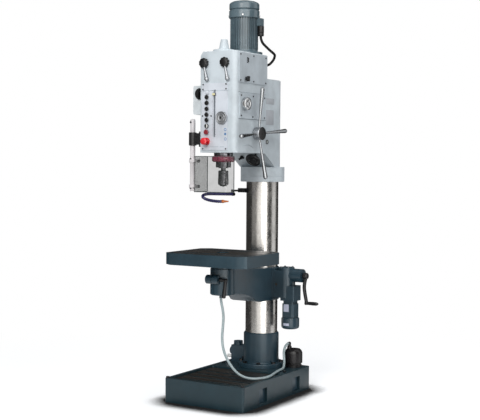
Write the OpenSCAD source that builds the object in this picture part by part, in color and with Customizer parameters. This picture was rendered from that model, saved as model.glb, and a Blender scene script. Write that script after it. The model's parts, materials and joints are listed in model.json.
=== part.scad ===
// Floor-standing geared pillar drill, in millimetres.
// Origin: column axis on the floor. +Z up, the operator stands at -Y and faces +Y.

/* [Base] */
// Width of the base casting
base_w = 490; // [440:5:540]
// Distance from the column axis to the front edge of the base
base_front = 600; // [560:5:640]
// Distance from the column axis to the back edge of the base
base_back = 130; // [126:1:150]
// Height of the base casting
base_h = 128; // [120:1:140]
// Depth of the recessed work face in the base top
base_recess = 9; // [4:1:14]
// Diameter of the holding-down bolts
anchor_d = 20; // [16:1:24]

/* [Column] */
// Diameter of the ground column
column_d = 180; // [178:0.5:182]
// Height of the column socket above the base
socket_h = 194; // [180:1:200]
// Outer diameter of the column socket
socket_d = 198; // [196:1:206]
// Diameter of the flange at the foot of the socket
socket_flange_d = 256; // [250:1:260]
// Height of the column top above the base
column_rise = 1072; // [1060:1:1080]
// Outer diameter of the collar that joins the head to the column
collar_d = 246; // [240:1:252]
// Thickness of each half of the collar
collar_t = 32; // [28:1:36]

/* [Head] */
// Width of the head
head_w = 224; // [220:1:232]
// Distance from the column axis to the front face of the head
head_front = 473; // [470:1:480]
// Distance from the column axis to the spindle axis
throat = 415; // [414:0.5:416]
// Height of the underside of the head above the column top
head_rise = 125; // [120:1:130]
// Height of the head casting from its underside to the gearbox joint
head_h = 340; // [338:1:342]
// Height of the gearbox housing
gearbox_h = 191; // [188:1:196]
// Wall thickness of the head castings
head_wall = 14; // [12:0.5:15]
// Radius of the right front corner of the head
head_corner_r = 30; // [20:1:32]
// Radius of the left front corner of the head
head_corner_left = 8; // [6:1:12]

/* [Spindle] */
// Diameter of the quill
quill_d = 80; // [78:0.5:82]
// Length of the quill
quill_l = 393; // [390:1:396]
// Travel of the quill
quill_travel = 180; // [120:5:180]
// Diameter of the spindle inside the quill
spindle_d = 40; // [36:1:44]
// Diameter of the drill chuck
chuck_d = 56; // [50:1:58]
// Diameter of the collar at the quill nose
quill_collar_d = 121; // [112:1:124]

/* [Table] */
// Width of the work table
table_w = 500; // [480:5:520]
// Depth of the work table
table_depth = 405; // [395:1:410]
// Thickness of the work table at its rim
table_t = 62; // [56:1:66]
// Diameter of the through hole in the table
table_bore_d = 70; // [66:1:74]
// Height of the table top above the floor
table_top = 796; // [794:1:800]
// Width of the T-slot openings
tslot_w = 14; // [12:1:18]

/* [Arm] */
// Height of the arm barrel
barrel_h = 184; // [180:1:188]
// Outer diameter of the arm barrel
barrel_d = 198; // [196:1:202]
// Diameter of the split boss that holds the table stub
boss_d = 132; // [128:1:136]
// Diameter of the table stub
stub_d = 90; // [86:1:94]
// Radius of the lift crank
crank_r = 150; // [130:5:160]

/* [Motor] */
// Diameter of the main motor over its fins
motor_d = 152; // [146:1:156]
// Height of the finned motor frame
motor_h = 192; // [180:1:200]
// Diameter of the motor fan cowl
cowl_d = 165; // [160:1:170]
// Number of cooling fins on the motor
fin_count = 36; // [24:1:40]

/* [Capstan] */
// Distance from the hub axis to the tips of the capstan handles
handle_reach = 247; // [220:1:255]
// Diameter of the capstan hub
hub_d = 70; // [64:1:74]
// Diameter of the fine feed handwheel
handwheel_d = 84; // [76:1:90]

/* [Hidden] */
$fn = 64;

// Clearances: fixed seats, running fits, open gaps beside moving pieces, cuts past a face
seat_gap = 0.1;
run_gap = 0.06;
open_gap = 2;
eps = 1;

// Heights
column_foot = base_h;
column_top = base_h + column_rise;
head_bottom = column_top + head_rise;
gearbox_z = head_bottom + head_h;
gearbox_top = gearbox_z + gearbox_h;
half_w = head_w / 2;
column_r = column_d / 2;
collar_r = collar_d / 2;

// Rack let into the column, and the pinion that runs on it
rack_module = 4;
rack_pitch = PI * rack_module;
rack_y = 23;
rack_w = 22;
rack_tip_x = column_r - 5;
rack_root_x = rack_tip_x - 9;
rack_back_x = rack_root_x - 12;
rack_z = 340;
rack_teeth = 56;
lift_teeth = 20;
lift_pinion_r = lift_teeth * rack_module / 2;
lift_x = rack_tip_x - rack_module + lift_pinion_r;
lift_z = 600;

// Worm drive of the table lift
worm_wheel_r = 28.3;
worm_wheel_w = 20;
worm_r = 11.2;
worm_x = lift_x + 40;
worm_shaft_r = 7;
worm_foot_z = lift_z - 86;
lift_shaft_r = 8;
crank_z = lift_z + 51;
bevel_r = 18;
bevel_face = 7;
lift_case_r = 48;
lift_block = 86;
lift_motor_x = worm_x + 25;
lift_case_z = lift_z - 74;
lift_case_top = lift_z + 77;
lift_block_z = lift_z - 90;
lift_motor_z = lift_z - 247;
crank_hub_x = 268;
crank_shaft_r = 8;

// Arm and table
barrel_z = lift_z - 93;
barrel_r = barrel_d / 2;
boss_r = boss_d / 2;
boss_top = table_top - table_t - 21;
boss_z = table_top - 225;
stub_r = stub_d / 2;
stub_bottom = table_top - 174;
clamp_z = table_top - 139;
clamp_y = -throat - boss_r - 6;
clamp_r = 24;
clamp_left = -51;
clamp_right = 24;
table_chamfer_x = 48;
table_chamfer_y = 36;
table_front = throat + table_depth / 2;

// Head
neck_top_y = -172;
neck_foot_y = -58;
neck_foot_z = column_top + 50;
head_back_y = -12;
box_back_y = -150;
shoulder_z = gearbox_z + 64;
rear_r = 97;
quill_r = quill_d / 2;
quill_nose_z = head_bottom - 78;
quill_top = quill_nose_z + quill_l;
guide_r = 50;
guide_top = head_bottom + 235;
feed_z = head_bottom + 104;
feed_module = 2.5;
quill_teeth = 16;
feed_pinion_r = quill_teeth * feed_module / 2;
feed_y = -throat + quill_r + feed_pinion_r - feed_module;
capstan_gear_r = 41.25;
capstan_y = feed_y + 2 * capstan_gear_r;
capstan_gear_teeth = 33;
feed_gear_x = 60;
feed_gear_w = 14;
feed_shaft_r = 10;
capstan_shaft_r = 13;

// Drive train
motor_y = -211;
lay_y = motor_y - 100;
drive_module = 2;
motor_teeth = 22;
lay_big_teeth = 78;
lay_small_teeth = 64;
sleeve_teeth = 40;
high_gear_z = gearbox_z + 110;
low_gear_z = gearbox_z + 40;
gear_w = 22;
spline_r = 15;
sleeve_r = 22;
motor_flange_r = 100;
motor_flange_t = 14;
motor_z = gearbox_top + motor_flange_t;
cowl_z = motor_z + motor_h;

// Control panel
panel_t = 3;
panel_left = -100;
panel_right = 62;
panel_z = head_bottom + 12;
panel_top = head_bottom + 322;
panel_face = -head_front - panel_t;
button_x = -66;
button_ups = [291, 261, 230, 200, 171];
button_zs = [for (up = button_ups) head_bottom + up];
button_r = 12;
slot_x = -19;
slot_w = 6;
slot_bottom = head_bottom + 82;
slot_top = head_bottom + 328;
pointer_z = slot_top - 23;

// Guard
post_x = -179;
post_y = -440;
post_r = 14;
guard_low = head_bottom - 208;
guard_high = head_bottom - 19;
guard_side = 105;
guard_front = -549;
guard_back_left = -412;
guard_back_right = -476;
guard_corner = 14;
guard_t = 4;

// Coolant hose from the pump to the arm, and motor cable
hose_d = 14;
cable_d = 14;
pump_x = 173;
pump_y = 65;
pump_r = 52;
hose_route = [[152, 42, 258], [152, 28, 257], [152.5, 13, 251.5], [153, 1, 242.5], [154, -8.5, 231],
    [155, -14.3, 217.5], [156.5, -16.5, 202], [158.5, -17.5, 185], [161.5, -21.5, 168],
    [166, -31, 153], [171, -45, 142.5], [176, -62, 137], [180, -84, 136], [184, -112, 136],
    [190, -148, 136], [198, -186, 136], [208, -226, 136], [217, -264, 136], [222, -300, 136],
    [221, -335, 136], [212, -366, 136], [195, -390, 136.2], [173, -404.5, 137.2], [149, -412.5, 140.5],
    [125, -416.5, 147.5], [101, -419, 159.5], [78, -420.5, 177.5], [56, -421.5, 201], [36, -422, 229],
    [20, -422.5, 259.5], [10, -423, 291], [5.5, -423, 322], [5, -423.5, 354], [8.5, -424, 392],
    [11.5, -424, 430], [11.5, -424, 465], [6.5, -424, 496], [1, -424, 518], [-3, -424, 537],
    [-4, -424, 552.6]];
cable_route = [[88, -182, 1956.6], [88.5, -181, 1944], [95, -172, 1920], [111, -145, 1894],
    [120, -127, 1880], [125, -106, 1869], [119, -82, 1859], [104, -71, 1838], [89, -82, 1816],
    [83, -104, 1807], [82, -122, 1806], [82, -137.6, 1806]];
nozzle_route = [[-108, -149, 1098], [-109, -196, 1099], [-118, -270, 1101], [-120, -340, 1103],
    [-119, -392, 1103], [-113, -434, 1098], [-103, -455, 1090], [-93, -452, 1081],
    [-84, -428, 1073], [-74, -392, 1067], [-62, -360, 1064], [-50, -346, 1064]];
nozzle_end = nozzle_route[len(nozzle_route) - 1];
nozzle_tip = [-12, -341, 1065];

// Colours
casting_blue = [0.20, 0.26, 0.29];
head_grey = [0.80, 0.83, 0.85];
motor_grey = [0.36, 0.42, 0.45];
black = [0.08, 0.08, 0.09];
steel = [0.70, 0.71, 0.72];
crimson = [0.50, 0.10, 0.24];

// Corner points of a gear with straight-flanked teeth, thinned for backlash
function gear_points(teeth, m, depth_in = 1.25, depth_out = 0.9) = [
    for (i = [0 : teeth - 1])
    for (p = [[-0.285, -depth_in], [-0.14, depth_out], [0.14, depth_out], [0.285, -depth_in]])
    let (a = 360 / teeth * (i + p[0]), r = teeth * m / 2 + p[1] * m)
    [r * cos(a), r * sin(a)]];

// Centre line of a smooth route, as Catmull-Rom points with a few steps between the route's own
function route_point(r, i, t) =
    let (n = len(r), a = r[max(i - 1, 0)], b = r[i], c = r[min(i + 1, n - 1)], d = r[min(i + 2, n - 1)])
    0.5 * (2 * b + (c - a) * t + (2 * a - 5 * b + 4 * c - d) * t * t + (3 * b - a - 3 * c + d) * t * t * t);
function smooth_route(r, steps) = concat(
    [for (i = [0 : len(r) - 2]) for (k = [0 : steps - 1]) route_point(r, i, k / steps)], [r[len(r) - 1]]);
function unit(v) = v / norm(v);
function tangent(p, i) = unit(p[min(i + 1, len(p) - 1)] - p[max(i - 1, 0)]);
// Frames carried along the line so that the tube doesn't twist
function carried(p, i, side) = i == 0 ? side : let (s = carried(p, i - 1, side), t = tangent(p, i))
    unit(s - (s * t) * t);

// Tube of the given diameter swept along a line of points
module tube(points, d, sides, side) {
    n = len(points);
    ring = [for (i = [0 : n - 1]) let (t = tangent(points, i), u = carried(points, i, side), v = cross(t, u))
        for (k = [0 : sides - 1]) points[i] + d / 2 * (cos(360 / sides * k) * u + sin(360 / sides * k) * v)];
    walls = [for (i = [0 : n - 2]) for (k = [0 : sides - 1]) let (j = (k + 1) % sides)
        for (tri = [[i * sides + k, (i + 1) * sides + k, (i + 1) * sides + j],
            [i * sides + k, (i + 1) * sides + j, i * sides + j]]) tri];
    first = [[for (k = [0 : sides - 1]) k]];
    last = [[for (k = [sides - 1 : -1 : 0]) (n - 1) * sides + k]];
    polyhedron(points = ring, faces = concat(walls, first, last));
}

// Rectangle with rounded corners, centred, in the XY plane
module rounded_rect(w, d, r) {
    union() {
        square([w - 2 * r, d], center = true);
        square([w, d - 2 * r], center = true);
        for (x = [-1, 1]) for (y = [-1, 1]) translate([x * (w / 2 - r), y * (d / 2 - r)]) circle(r = r);
    }
}

// Box from a lowest to a highest corner
module span_box(low, high) {
    translate(low) cube(high - low);
}

// Raised by a height
module up(z) {
    translate([0, 0, z]) children();
}

module along_x(x, y, z) {
    translate([x, y, z]) rotate([0, 90, 0]) children();
}

// Turned so that the child's +Z points to -Y, out of the front face
module out_front(x, y, z) {
    translate([x, y, z]) rotate([90, 0, 0]) children();
}

module toothed(teeth, m, w, bore) {
    linear_extrude(height = w) difference() {
        polygon(gear_points(teeth, m));
        circle(r = bore);
    }
}

// Hexagon-headed bolt: shank below z = 0, head above
module hex_bolt(d, head, shank) {
    cylinder(d = 1.7 * d, h = head, $fn = 6);
    up(-shank) cylinder(d = d, h = shank + eps);
}

// Places of the holding-down bolts
anchor_x = base_w / 2 - 26;
anchor_ys = [200 - base_front, base_back - 166];
pocket_w = 86;
pocket_h = 78;
pocket_deep = 44;
pocket_floor = 14;
// In each pocket the anchor hole lies behind its middle and a levelling screw in front of it
anchor_off = 14;
level_off = 20;
module at_anchors() {
    for (side = [-1, 1]) for (y = anchor_ys) translate([side * anchor_x, y, 0]) children();
}

flange_t = 24;
flange_bolt_pcd = 228;
flange_bolts = 8;
flange_bolt_d = 14;
flange_bolt_l = 30;
module at_flange_bolts() {
    for (i = [0 : flange_bolts - 1]) rotate(360 / flange_bolts * (i + 0.5))
        translate([flange_bolt_pcd / 2, 0, column_foot + flange_t]) children();
}

// Jacking screws that stand in the base top
jack_d = 12;
jack_l = 34;
module at_jack_screws() {
    rim_x = base_w / 2 - 33;
    corner_x = base_w / 2 - 12;
    corner_y = 14 - base_front;
    for (p = [[-rim_x, -62], [rim_x, -110], [-corner_x, corner_y], [corner_x, corner_y]])
        translate([p[0], p[1], base_h]) children();
}

rim_w = 24;
work_back = -165;
base_corner_r = 14;
work_corner_r = 16;
work_slot_ys = [for (i = [1 : 4]) 80 * i - base_front];
work_slot_half = base_w / 2 - 55;
work_slot_deep = 24;
// Cored cells under the work face, their centres and half sizes
cell_x = base_w / 2 - 102;
cell_xs = [-cell_x, 0, cell_x];
cell_ys = [110 - base_front, 300 - base_front];
cell_half = 44;
cell_reach = 70;
cell_roof = 40;
column_cell_x = base_w / 2 - 95;
column_cell_half = 32;
sump_r = 34;
sump_deep = 50;
module base() {
    work_floor = base_h - base_recess;
    color(casting_blue) difference() {
        translate([0, (base_back - base_front) / 2, 0]) linear_extrude(height = base_h)
            rounded_rect(base_w, base_front + base_back, base_corner_r);
        translate([0, (work_back - base_front + rim_w) / 2, work_floor])
            linear_extrude(height = base_recess + eps)
            rounded_rect(base_w - 2 * rim_w, work_back + base_front - rim_w, work_corner_r);
        for (x = cell_xs) for (y = cell_ys)
            span_box([x - cell_half, y - cell_reach, -eps],
                [x + cell_half, y + cell_reach, base_h - cell_roof]);
        for (x = [-column_cell_x, column_cell_x])
            span_box([x - column_cell_half, -110, -eps], [x + column_cell_half, 20, base_h / 2]);
        for (y = work_slot_ys) tslot(-work_slot_half, work_slot_half, y, work_floor, tslot_w,
            work_slot_deep);
        translate([pump_x, pump_y, base_h - sump_deep]) cylinder(r = sump_r, h = sump_deep + eps);
        at_anchors() {
            span_box([-pocket_deep / 2 - 4, -pocket_w / 2, pocket_floor],
                [pocket_deep / 2 + 4 + eps, pocket_w / 2, pocket_floor + pocket_h]);
            translate([0, anchor_off, -eps]) cylinder(d = anchor_d + 2, h = pocket_floor + 2 * eps);
            translate([0, -level_off, -eps]) cylinder(d = jack_d + 2 * seat_gap, h = pocket_floor + 2 * eps);
        }
        at_flange_bolts() up(-flange_t - flange_bolt_l)
            cylinder(d = flange_bolt_d + 2 * seat_gap, h = flange_bolt_l + eps);
        at_jack_screws() up(-jack_l) cylinder(d = jack_d + 2 * seat_gap, h = jack_l + eps);
    }
}

// Slot along X with a wider foot, cut down from a top face
module tslot(x0, x1, y, top, w, deep) {
    span_box([x0, y - w / 2, top - deep], [x1, y + w / 2, top + eps]);
    span_box([x0, y - w * 0.85, top - deep], [x1, y + w * 0.85, top - deep + w * 0.7]);
}

// Flange bolts, jacking screws of the base and cap screws of the covers
module fasteners() {
    color(steel) {
        at_flange_bolts() hex_bolt(flange_bolt_d, 9, flange_t + flange_bolt_l - 6);
        at_jack_screws() hex_bolt(jack_d, 8, jack_l - 4);
        at_anchors() translate([0, -level_off, pocket_floor]) hex_bolt(jack_d, 20, pocket_floor);
        at_panel_screws() cap_screw(panel_t);
        at_side_screws() cap_screw(cover_t);
        at_gearbox_screws() cap_screw(cover_t);
    }
}

module column_flange() {
    color(casting_blue) difference() {
        up(column_foot) rotate_extrude() polygon([[0, 0], [socket_flange_d / 2, 0],
            [socket_flange_d / 2, flange_t - 3], [socket_flange_d / 2 - 3, flange_t],
                [socket_d / 2 + 2, flange_t],
            [socket_d / 2, flange_t + 2], [socket_d / 2, socket_h - 8], [socket_d / 2 - 6, socket_h],
                [0, socket_h]]);
        up(column_foot - eps) cylinder(r = column_r + seat_gap, h = socket_h + 2 * eps, $fn = 96);
        at_flange_bolts() up(-flange_t - eps)
            cylinder(d = flange_bolt_d + 2 * seat_gap, h = flange_t + 2 * eps);
    }
}

column_bore = 110;
module column() {
    color(steel) difference() {
        up(column_foot) cylinder(r = column_r, h = column_rise, $fn = 96);
        up(column_foot - eps) cylinder(d = column_bore, h = column_rise + 2 * eps, $fn = 96);
        span_box([rack_back_x, rack_y - rack_w / 2 - seat_gap, rack_z],
            [column_r + eps, rack_y + rack_w / 2 + seat_gap, rack_z + rack_teeth * rack_pitch]);
    }
}

// Straight rack along Z: teeth towards +X, pitch counted from z0
module column_rack() {
    half = rack_pitch / 2;
    tip = rack_pitch * 0.14;
    root = rack_pitch * 0.285;
    first = lift_z + half - rack_pitch * (floor((lift_z + half - rack_z) / rack_pitch) - 1);
    color(steel) translate([0, rack_y + rack_w / 2 - seat_gap, 0]) rotate([90, 0, 0])
        linear_extrude(height = rack_w - 2 * seat_gap) polygon(concat(
            [[rack_back_x, rack_z + seat_gap], [rack_root_x, rack_z + seat_gap]],
            [for (i = [0 : rack_teeth - 3]) let (z = first + i * rack_pitch)
                for (p = [[rack_root_x, -root], [rack_tip_x, -tip], [rack_tip_x, tip], [rack_root_x, root]])
                [p[0], z + p[1]]],
            [[rack_root_x, rack_z + rack_teeth * rack_pitch - seat_gap],
            [rack_back_x, rack_z + rack_teeth * rack_pitch - seat_gap]]));
}

module column_top_flange() {
    color(head_grey) difference() {
        up(column_top - collar_t) rotate_extrude($fn = 96) polygon([[column_r + seat_gap, 0],
            [collar_r - 2, 0], [collar_r, 2], [collar_r, collar_t - 1.5], [collar_r - 1.5, collar_t],
            [column_r + seat_gap, collar_t]]);
    }
}

// Plan of the head: a box with rounded front corners and a round back round the column line
module head_plan(inset, back_y) {
    w = half_w - inset;
    front = -head_front + inset;
    r = head_corner_r - inset / 2;
    left = head_corner_left - inset / 4;
    union() {
        polygon([[-w + left, front], [w - r, front], [w, front + r], [w, back_y - inset],
            [-w, back_y - inset],
            [-w, front + left]]);
        translate([-w + left, front + left]) circle(r = left);
        translate([w - r, front + r]) circle(r = r);
    }
}

// Side outline of the head casting, y across and z up
module head_side(inset) {
    i = inset;
    polygon([[-head_front + i, head_bottom + i], [neck_top_y - i / 2, head_bottom + i],
        [neck_foot_y - i / 2, neck_foot_z + i], [rear_r - i, neck_foot_z + i],
        [rear_r - i, shoulder_z - i], [box_back_y + i, shoulder_z - i],
            [box_back_y + i, gearbox_z + (i > 0 ? eps : 0)],
        [-head_front + i, gearbox_z + (i > 0 ? eps : 0)]]);
}

module side_prism(half) {
    translate([half, 0, 0]) rotate([90, 0, -90]) mirror([1, 0, 0]) linear_extrude(height = 2 * half)
        children();
}

module head_solid(inset) {
    intersection() {
        union() {
            up(column_top) linear_extrude(height = shoulder_z - column_top) head_plan(inset, head_back_y);
            up(column_top) cylinder(r = rear_r - inset, h = shoulder_z - column_top, $fn = 96);
        }
        side_prism(half_w + 20) head_side(inset);
    }
}

module head_casting() {
    color(head_grey) difference() {
        union() {
            difference() {
                head_solid(0);
                head_solid(head_wall);
            }
            // round flange on the column top
            up(column_top) cylinder(r = collar_r, h = 50, $fn = 96);
            // quill guide
            intersection() {
                translate([0, -throat, head_bottom - 17])
                    cylinder(r = guide_r, h = guide_top - head_bottom + 17);
                span_box([-half_w, -head_front + 2, head_bottom - 17], [half_w, 0, guide_top]);
            }
            // bearing bosses of the feed shafts
            along_x(-half_w + 2, feed_y, feed_z) cylinder(r = 20, h = 34);
            along_x(feed_gear_x + feed_gear_w + 6, feed_y, feed_z)
                cylinder(r = 18, h = half_w - feed_gear_x - feed_gear_w - 8);
            along_x(feed_gear_x + feed_gear_w + 6, capstan_y, feed_z)
                cylinder(r = 26, h = half_w - feed_gear_x - feed_gear_w - 8);
            along_x(-half_w + 2, capstan_y, feed_z) cylinder(r = 24, h = 34);
        }
        // quill bore, pinion window and the slot of the depth pointer
        translate([0, -throat, head_bottom - 20])
            cylinder(r = quill_r + run_gap, h = guide_top - head_bottom + 40, $fn = 96);
        span_box([-13, -throat + quill_r - 8, feed_z - feed_pinion_r - 6],
            [13, -throat + guide_r + 10, feed_z + feed_pinion_r + 6]);
        span_box([slot_x - slot_w / 2, -head_front - eps, slot_bottom],
            [slot_x + slot_w / 2, -throat, slot_top]);
        // shaft bores
        along_x(-half_w + 6, feed_y, feed_z) cylinder(r = feed_shaft_r + run_gap, h = head_w - 12);
        along_x(-half_w + 16, capstan_y, feed_z) cylinder(r = capstan_shaft_r + run_gap, h = head_w + eps);
        wheel_place() up(-62) cylinder(r = 8 + run_gap, h = 62 + eps);
        wing_place() up(-30) cylinder(r = 5 + run_gap, h = 31);
        // recesses behind moving controls
        out_front(dial_x, -head_front + 12, dial_z) cylinder(r = 8 + run_gap, h = 12 + eps);
        // sight glass seat and clamp pad
        along_x(half_w - 3, glass_y, glass_z) cylinder(r = 12, h = 3 + eps);
        for (z = concat(button_zs, [stop_z, estop_z, switch_sel_z]))
            out_front(button_x, -head_front + head_wall + eps, z)
                cylinder(r = plunger_r, h = head_wall + 2 * eps);
        along_x(half_w - head_wall - eps, selector_y, selector_z)
            cylinder(r = 8 + run_gap, h = head_wall + 2 * eps);
        at_panel_screws() cylinder(d = 4 + 2 * seat_gap, h = 9, center = true);
        at_side_screws() cylinder(d = 4 + 2 * seat_gap, h = 9, center = true);
    }
}

glass_y = -149;
glass_z = head_bottom + 62;
gland_x = 82;
gland_z = gearbox_z + 141;
gland_y = -138;
module gearbox_housing() {
    i = head_wall;
    color(head_grey) difference() {
        union() {
            intersection() {
                up(gearbox_z) linear_extrude(height = gearbox_h) head_plan(0, box_back_y);
                // rounded-off top edges
                up(gearbox_z) rotate([90, 0, 0]) linear_extrude(height = head_front + eps)
                    polygon([[-half_w, 0], [half_w, 0], [half_w, gearbox_h - 5], [half_w - 5, gearbox_h],
                    [-half_w + 18, gearbox_h], [-half_w, gearbox_h - 26]]);
            }
            translate([0, -throat, gearbox_top]) cylinder(r = cap_flange_r, h = cap_flange_t);
            // plug where the motor cable goes in
            along_y(gland_x, box_back_y - eps, gland_z) cylinder(d = 22, h = gland_y - box_back_y + eps);
        }
        difference() {
            up(gearbox_z + i) linear_extrude(height = gearbox_h - 2 * i) head_plan(i, box_back_y);
            // bearing seats of the layshaft and the drive sleeve
            translate([0, lay_y, gearbox_z]) cylinder(r = 24, h = 34);
            translate([0, lay_y, gearbox_top - 30]) cylinder(r = 24, h = 30);
            translate([0, -throat, gearbox_top - 34]) cylinder(r = 34, h = 34);
        }
        // window behind the cover plate
        span_box([half_w - i - eps, -410, gearbox_z + 40], [half_w + eps, -200, gearbox_z + 165]);
        translate([0, -throat, gearbox_z - eps])
            cylinder(r = sleeve_r + run_gap, h = gearbox_h + 12 + 2 * eps);
        translate([0, lay_y, gearbox_z + 4]) cylinder(r = 12 + run_gap, h = gearbox_h - 8);
        translate([0, motor_y, gearbox_top - i - eps]) cylinder(r = 40, h = i + 2 * eps);
        for (x = [lever_left_x, lever_right_x]) out_front(x, -head_front + i + 6, lever_z)
            cylinder(r = 10 + run_gap, h = i + 6 + eps);
        along_x(half_w - 12, knob_y, knob_z) cylinder(r = 5 + run_gap, h = 12 + eps);
        at_motor_bolts() cylinder(d = 10 + 2 * seat_gap, h = 18, center = true);
        at_gearbox_screws() cylinder(d = 4 + 2 * seat_gap, h = 9, center = true);
        at_panel_screws() cylinder(d = 4 + 2 * seat_gap, h = 9, center = true);
    }
}

cover_t = 5;
module cover_plate(y0, y1, z0, z1, r) {
    along_x(half_w, (y0 + y1) / 2, (z0 + z1) / 2) rotate(90) linear_extrude(height = cover_t)
        rounded_rect(y1 - y0, z1 - z0, r);
}

gearbox_screw_ys = [-439, -306, -178];
module at_gearbox_screws() {
    for (y = gearbox_screw_ys) for (z = [gearbox_z + 38, gearbox_top - 18])
        translate([half_w, y, z]) rotate([0, 90, 0]) children();
}
module at_side_screws() {
    for (p = [[-431, 300], [-308, 300], [-189, 297], [-431, 194], [-312, 191], [-189, 190]])
        translate([half_w, p[0], head_bottom + p[1]]) rotate([0, 90, 0]) children();
}
module side_covers() {
    color(head_grey) difference() {
        union() {
            cover_plate(-449, -168, gearbox_z + 27, gearbox_top - 7, 6);
            cover_plate(-442, -178, head_bottom + 179, gearbox_z - 27, 6);
        }
        at_gearbox_screws() cylinder(d = 4 + 2 * seat_gap, h = 20, center = true);
        at_side_screws() cylinder(d = 4 + 2 * seat_gap, h = 20, center = true);
        along_x(half_w - eps, knob_y, knob_z) cylinder(r = 5 + run_gap, h = cover_t + 2 * eps);
        along_x(half_w - eps, selector_y, selector_z) cylinder(r = 8 + run_gap, h = cover_t + 2 * eps);
    }
}

name_z = gearbox_z - 15;
name_top = gearbox_z + 24;
module at_panel_screws() {
    for (p = [[-91, 20], [52, 20], [-93, 193], [-39, 192]])
        translate([p[0], -head_front, head_bottom + p[1]]) rotate([90, 0, 0]) children();
    for (x = [-90, 52]) for (z = [name_z + 7, name_top - 7]) translate([x, -head_front, z])
        rotate([90, 0, 0]) children();
}

dial_x = 28;
dial_z = head_bottom + 182;
stop_z = head_bottom + 108;
estop_z = head_bottom + 59;
lamp_z = head_bottom + 315;
lamp_r = 9;
switch_sel_z = head_bottom + 140;
selector_y = -398;
selector_r = 34;
selector_z = head_bottom + 256;
knob_y = -384;
knob_z = gearbox_z + 48;
lever_left_x = -84;
lever_right_x = 44;
lever_z = gearbox_z + 130;

module control_panel() {
    color([0.84, 0.86, 0.88]) difference() {
        union() {
            span_box([panel_left, panel_face, panel_z], [panel_right, -head_front, panel_top]);
            span_box([-98, panel_face, name_z + 0.5], [panel_right - 1, -head_front, name_top]);
        }
        span_box([slot_x - slot_w / 2, panel_face - eps, slot_bottom], [slot_x + slot_w / 2, 0, slot_top]);
        for (z = concat(button_zs, [stop_z, estop_z, switch_sel_z]))
            out_front(button_x, -head_front + eps, z) cylinder(r = plunger_r, h = panel_t + 2 * eps);
        out_front(dial_x, -head_front + eps, dial_z) cylinder(r = 8 + run_gap, h = panel_t + 2 * eps);
        at_panel_screws() cylinder(d = 4 + 2 * seat_gap, h = 20, center = true);
    }
    // signal lamp
    color([0.9, 0.9, 0.88]) out_front(button_x, panel_face, lamp_z) rotate_extrude()
        polygon([[0, 0], [lamp_r + 2, 0], [lamp_r + 2, 3], [lamp_r, 4], [lamp_r - 2, 8], [0, 10]]);
}

// Cap-head screw standing on a face at z = 0
module cap_screw(proud) {
    up(proud) cylinder(d = 7, h = 3.5);
    up(-4) cylinder(d = 4, h = proud + 4 + eps / 2);
}

// Cone cap over the top end of the spindle
cap_flange_r = 57;
cap_flange_t = 10;
cap_h = 55;
module spindle_cap() {
    color(head_grey) translate([0, -throat, gearbox_top + cap_flange_t]) difference() {
        rotate_extrude() polygon([[0, 0], [40, 0], [40, 3], [28, 6], [26.5, 9], [18, cap_h - 3],
            [16, cap_h], [0, cap_h]]);
        up(-eps) cylinder(r = sleeve_r + 2, h = 12);
        up(-eps) cylinder(r = spline_r + 1, h = cap_h - 11);
    }
}

module at_motor_bolts() {
    for (a = [45 : 90 : 315]) translate([0, motor_y, gearbox_top]) rotate(a) translate([86, 0, 0])
        children();
}

// Cross-section of the finned frame
function fin_outline(n, r0, r1, frac) = [for (i = [0 : n - 1])
    for (p = [[-0.5, r0], [-frac / 2, r0], [-frac / 2, r1], [frac / 2, r1], [frac / 2, r0]])
    let (a = 360 / n * (i + p[0])) [p[1] * cos(a), p[1] * sin(a)]];

box_x = 72;
box_reach = 98;
box_y = motor_y + 25;
box_half = 18;
box_z = motor_z + 142;
box_h = 40;
lead_x = 88;
lead_y = -182;
lead_drop = 55;
lead_nut = 14;
module motor_frame() {
    color(motor_grey) {
        difference() {
            union() {
                translate([0, motor_y, gearbox_top])
                    cylinder(r = motor_flange_r, h = motor_flange_t, $fn = 72);
                translate([0, motor_y, motor_z]) cylinder(r = motor_d / 2 - 2, h = 14);
                translate([0, motor_y, motor_z + 14]) linear_extrude(height = motor_h - 22)
                    polygon(fin_outline(fin_count, motor_d / 2 - 9, motor_d / 2, 0.34));
                translate([0, motor_y, cowl_z - 8 - eps / 2]) cylinder(r = motor_d / 2 - 2, h = 8 + eps / 2);
                span_box([motor_d / 2 - 22, box_y - box_half + 6, box_z + 6],
                    [box_x + 2, box_y + box_half - 6, box_z + box_h - 6]);
            }
            translate([0, motor_y, gearbox_top - eps]) cylinder(r = 40, h = 20);
            translate([0, motor_y, gearbox_top + 26]) cylinder(r = 45, h = motor_h - 36);
            translate([0, motor_y, gearbox_top - eps]) cylinder(r = 12 + run_gap, h = motor_h + 40);
            at_motor_bolts() up(-eps) cylinder(d = 10 + 2 * seat_gap, h = motor_flange_t + 2 * eps);
        }
        difference() {
            span_box([box_x + 2, box_y - box_half, box_z], [box_reach, box_y + box_half, box_z + box_h]);
            span_box([box_x + 6, box_y - box_half + 4, box_z + 4],
                [box_reach - 4, box_y + box_half - 4, box_z + box_h - 4]);
            translate([lead_x, lead_y, box_z - eps]) cylinder(d = 10, h = 8);
        }
        translate([lead_x, lead_y, box_z - lead_drop]) cylinder(d = 20, h = lead_drop - lead_nut);
        translate([lead_x, lead_y, box_z - lead_nut]) cylinder(d = 26, h = lead_nut, $fn = 6);
        at_motor_bolts() {
            up(motor_flange_t) cylinder(d = 17, h = 7, $fn = 6);
            up(-8) cylinder(d = 10, h = motor_flange_t + 8 + eps / 2);
        }
    }
}

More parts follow.
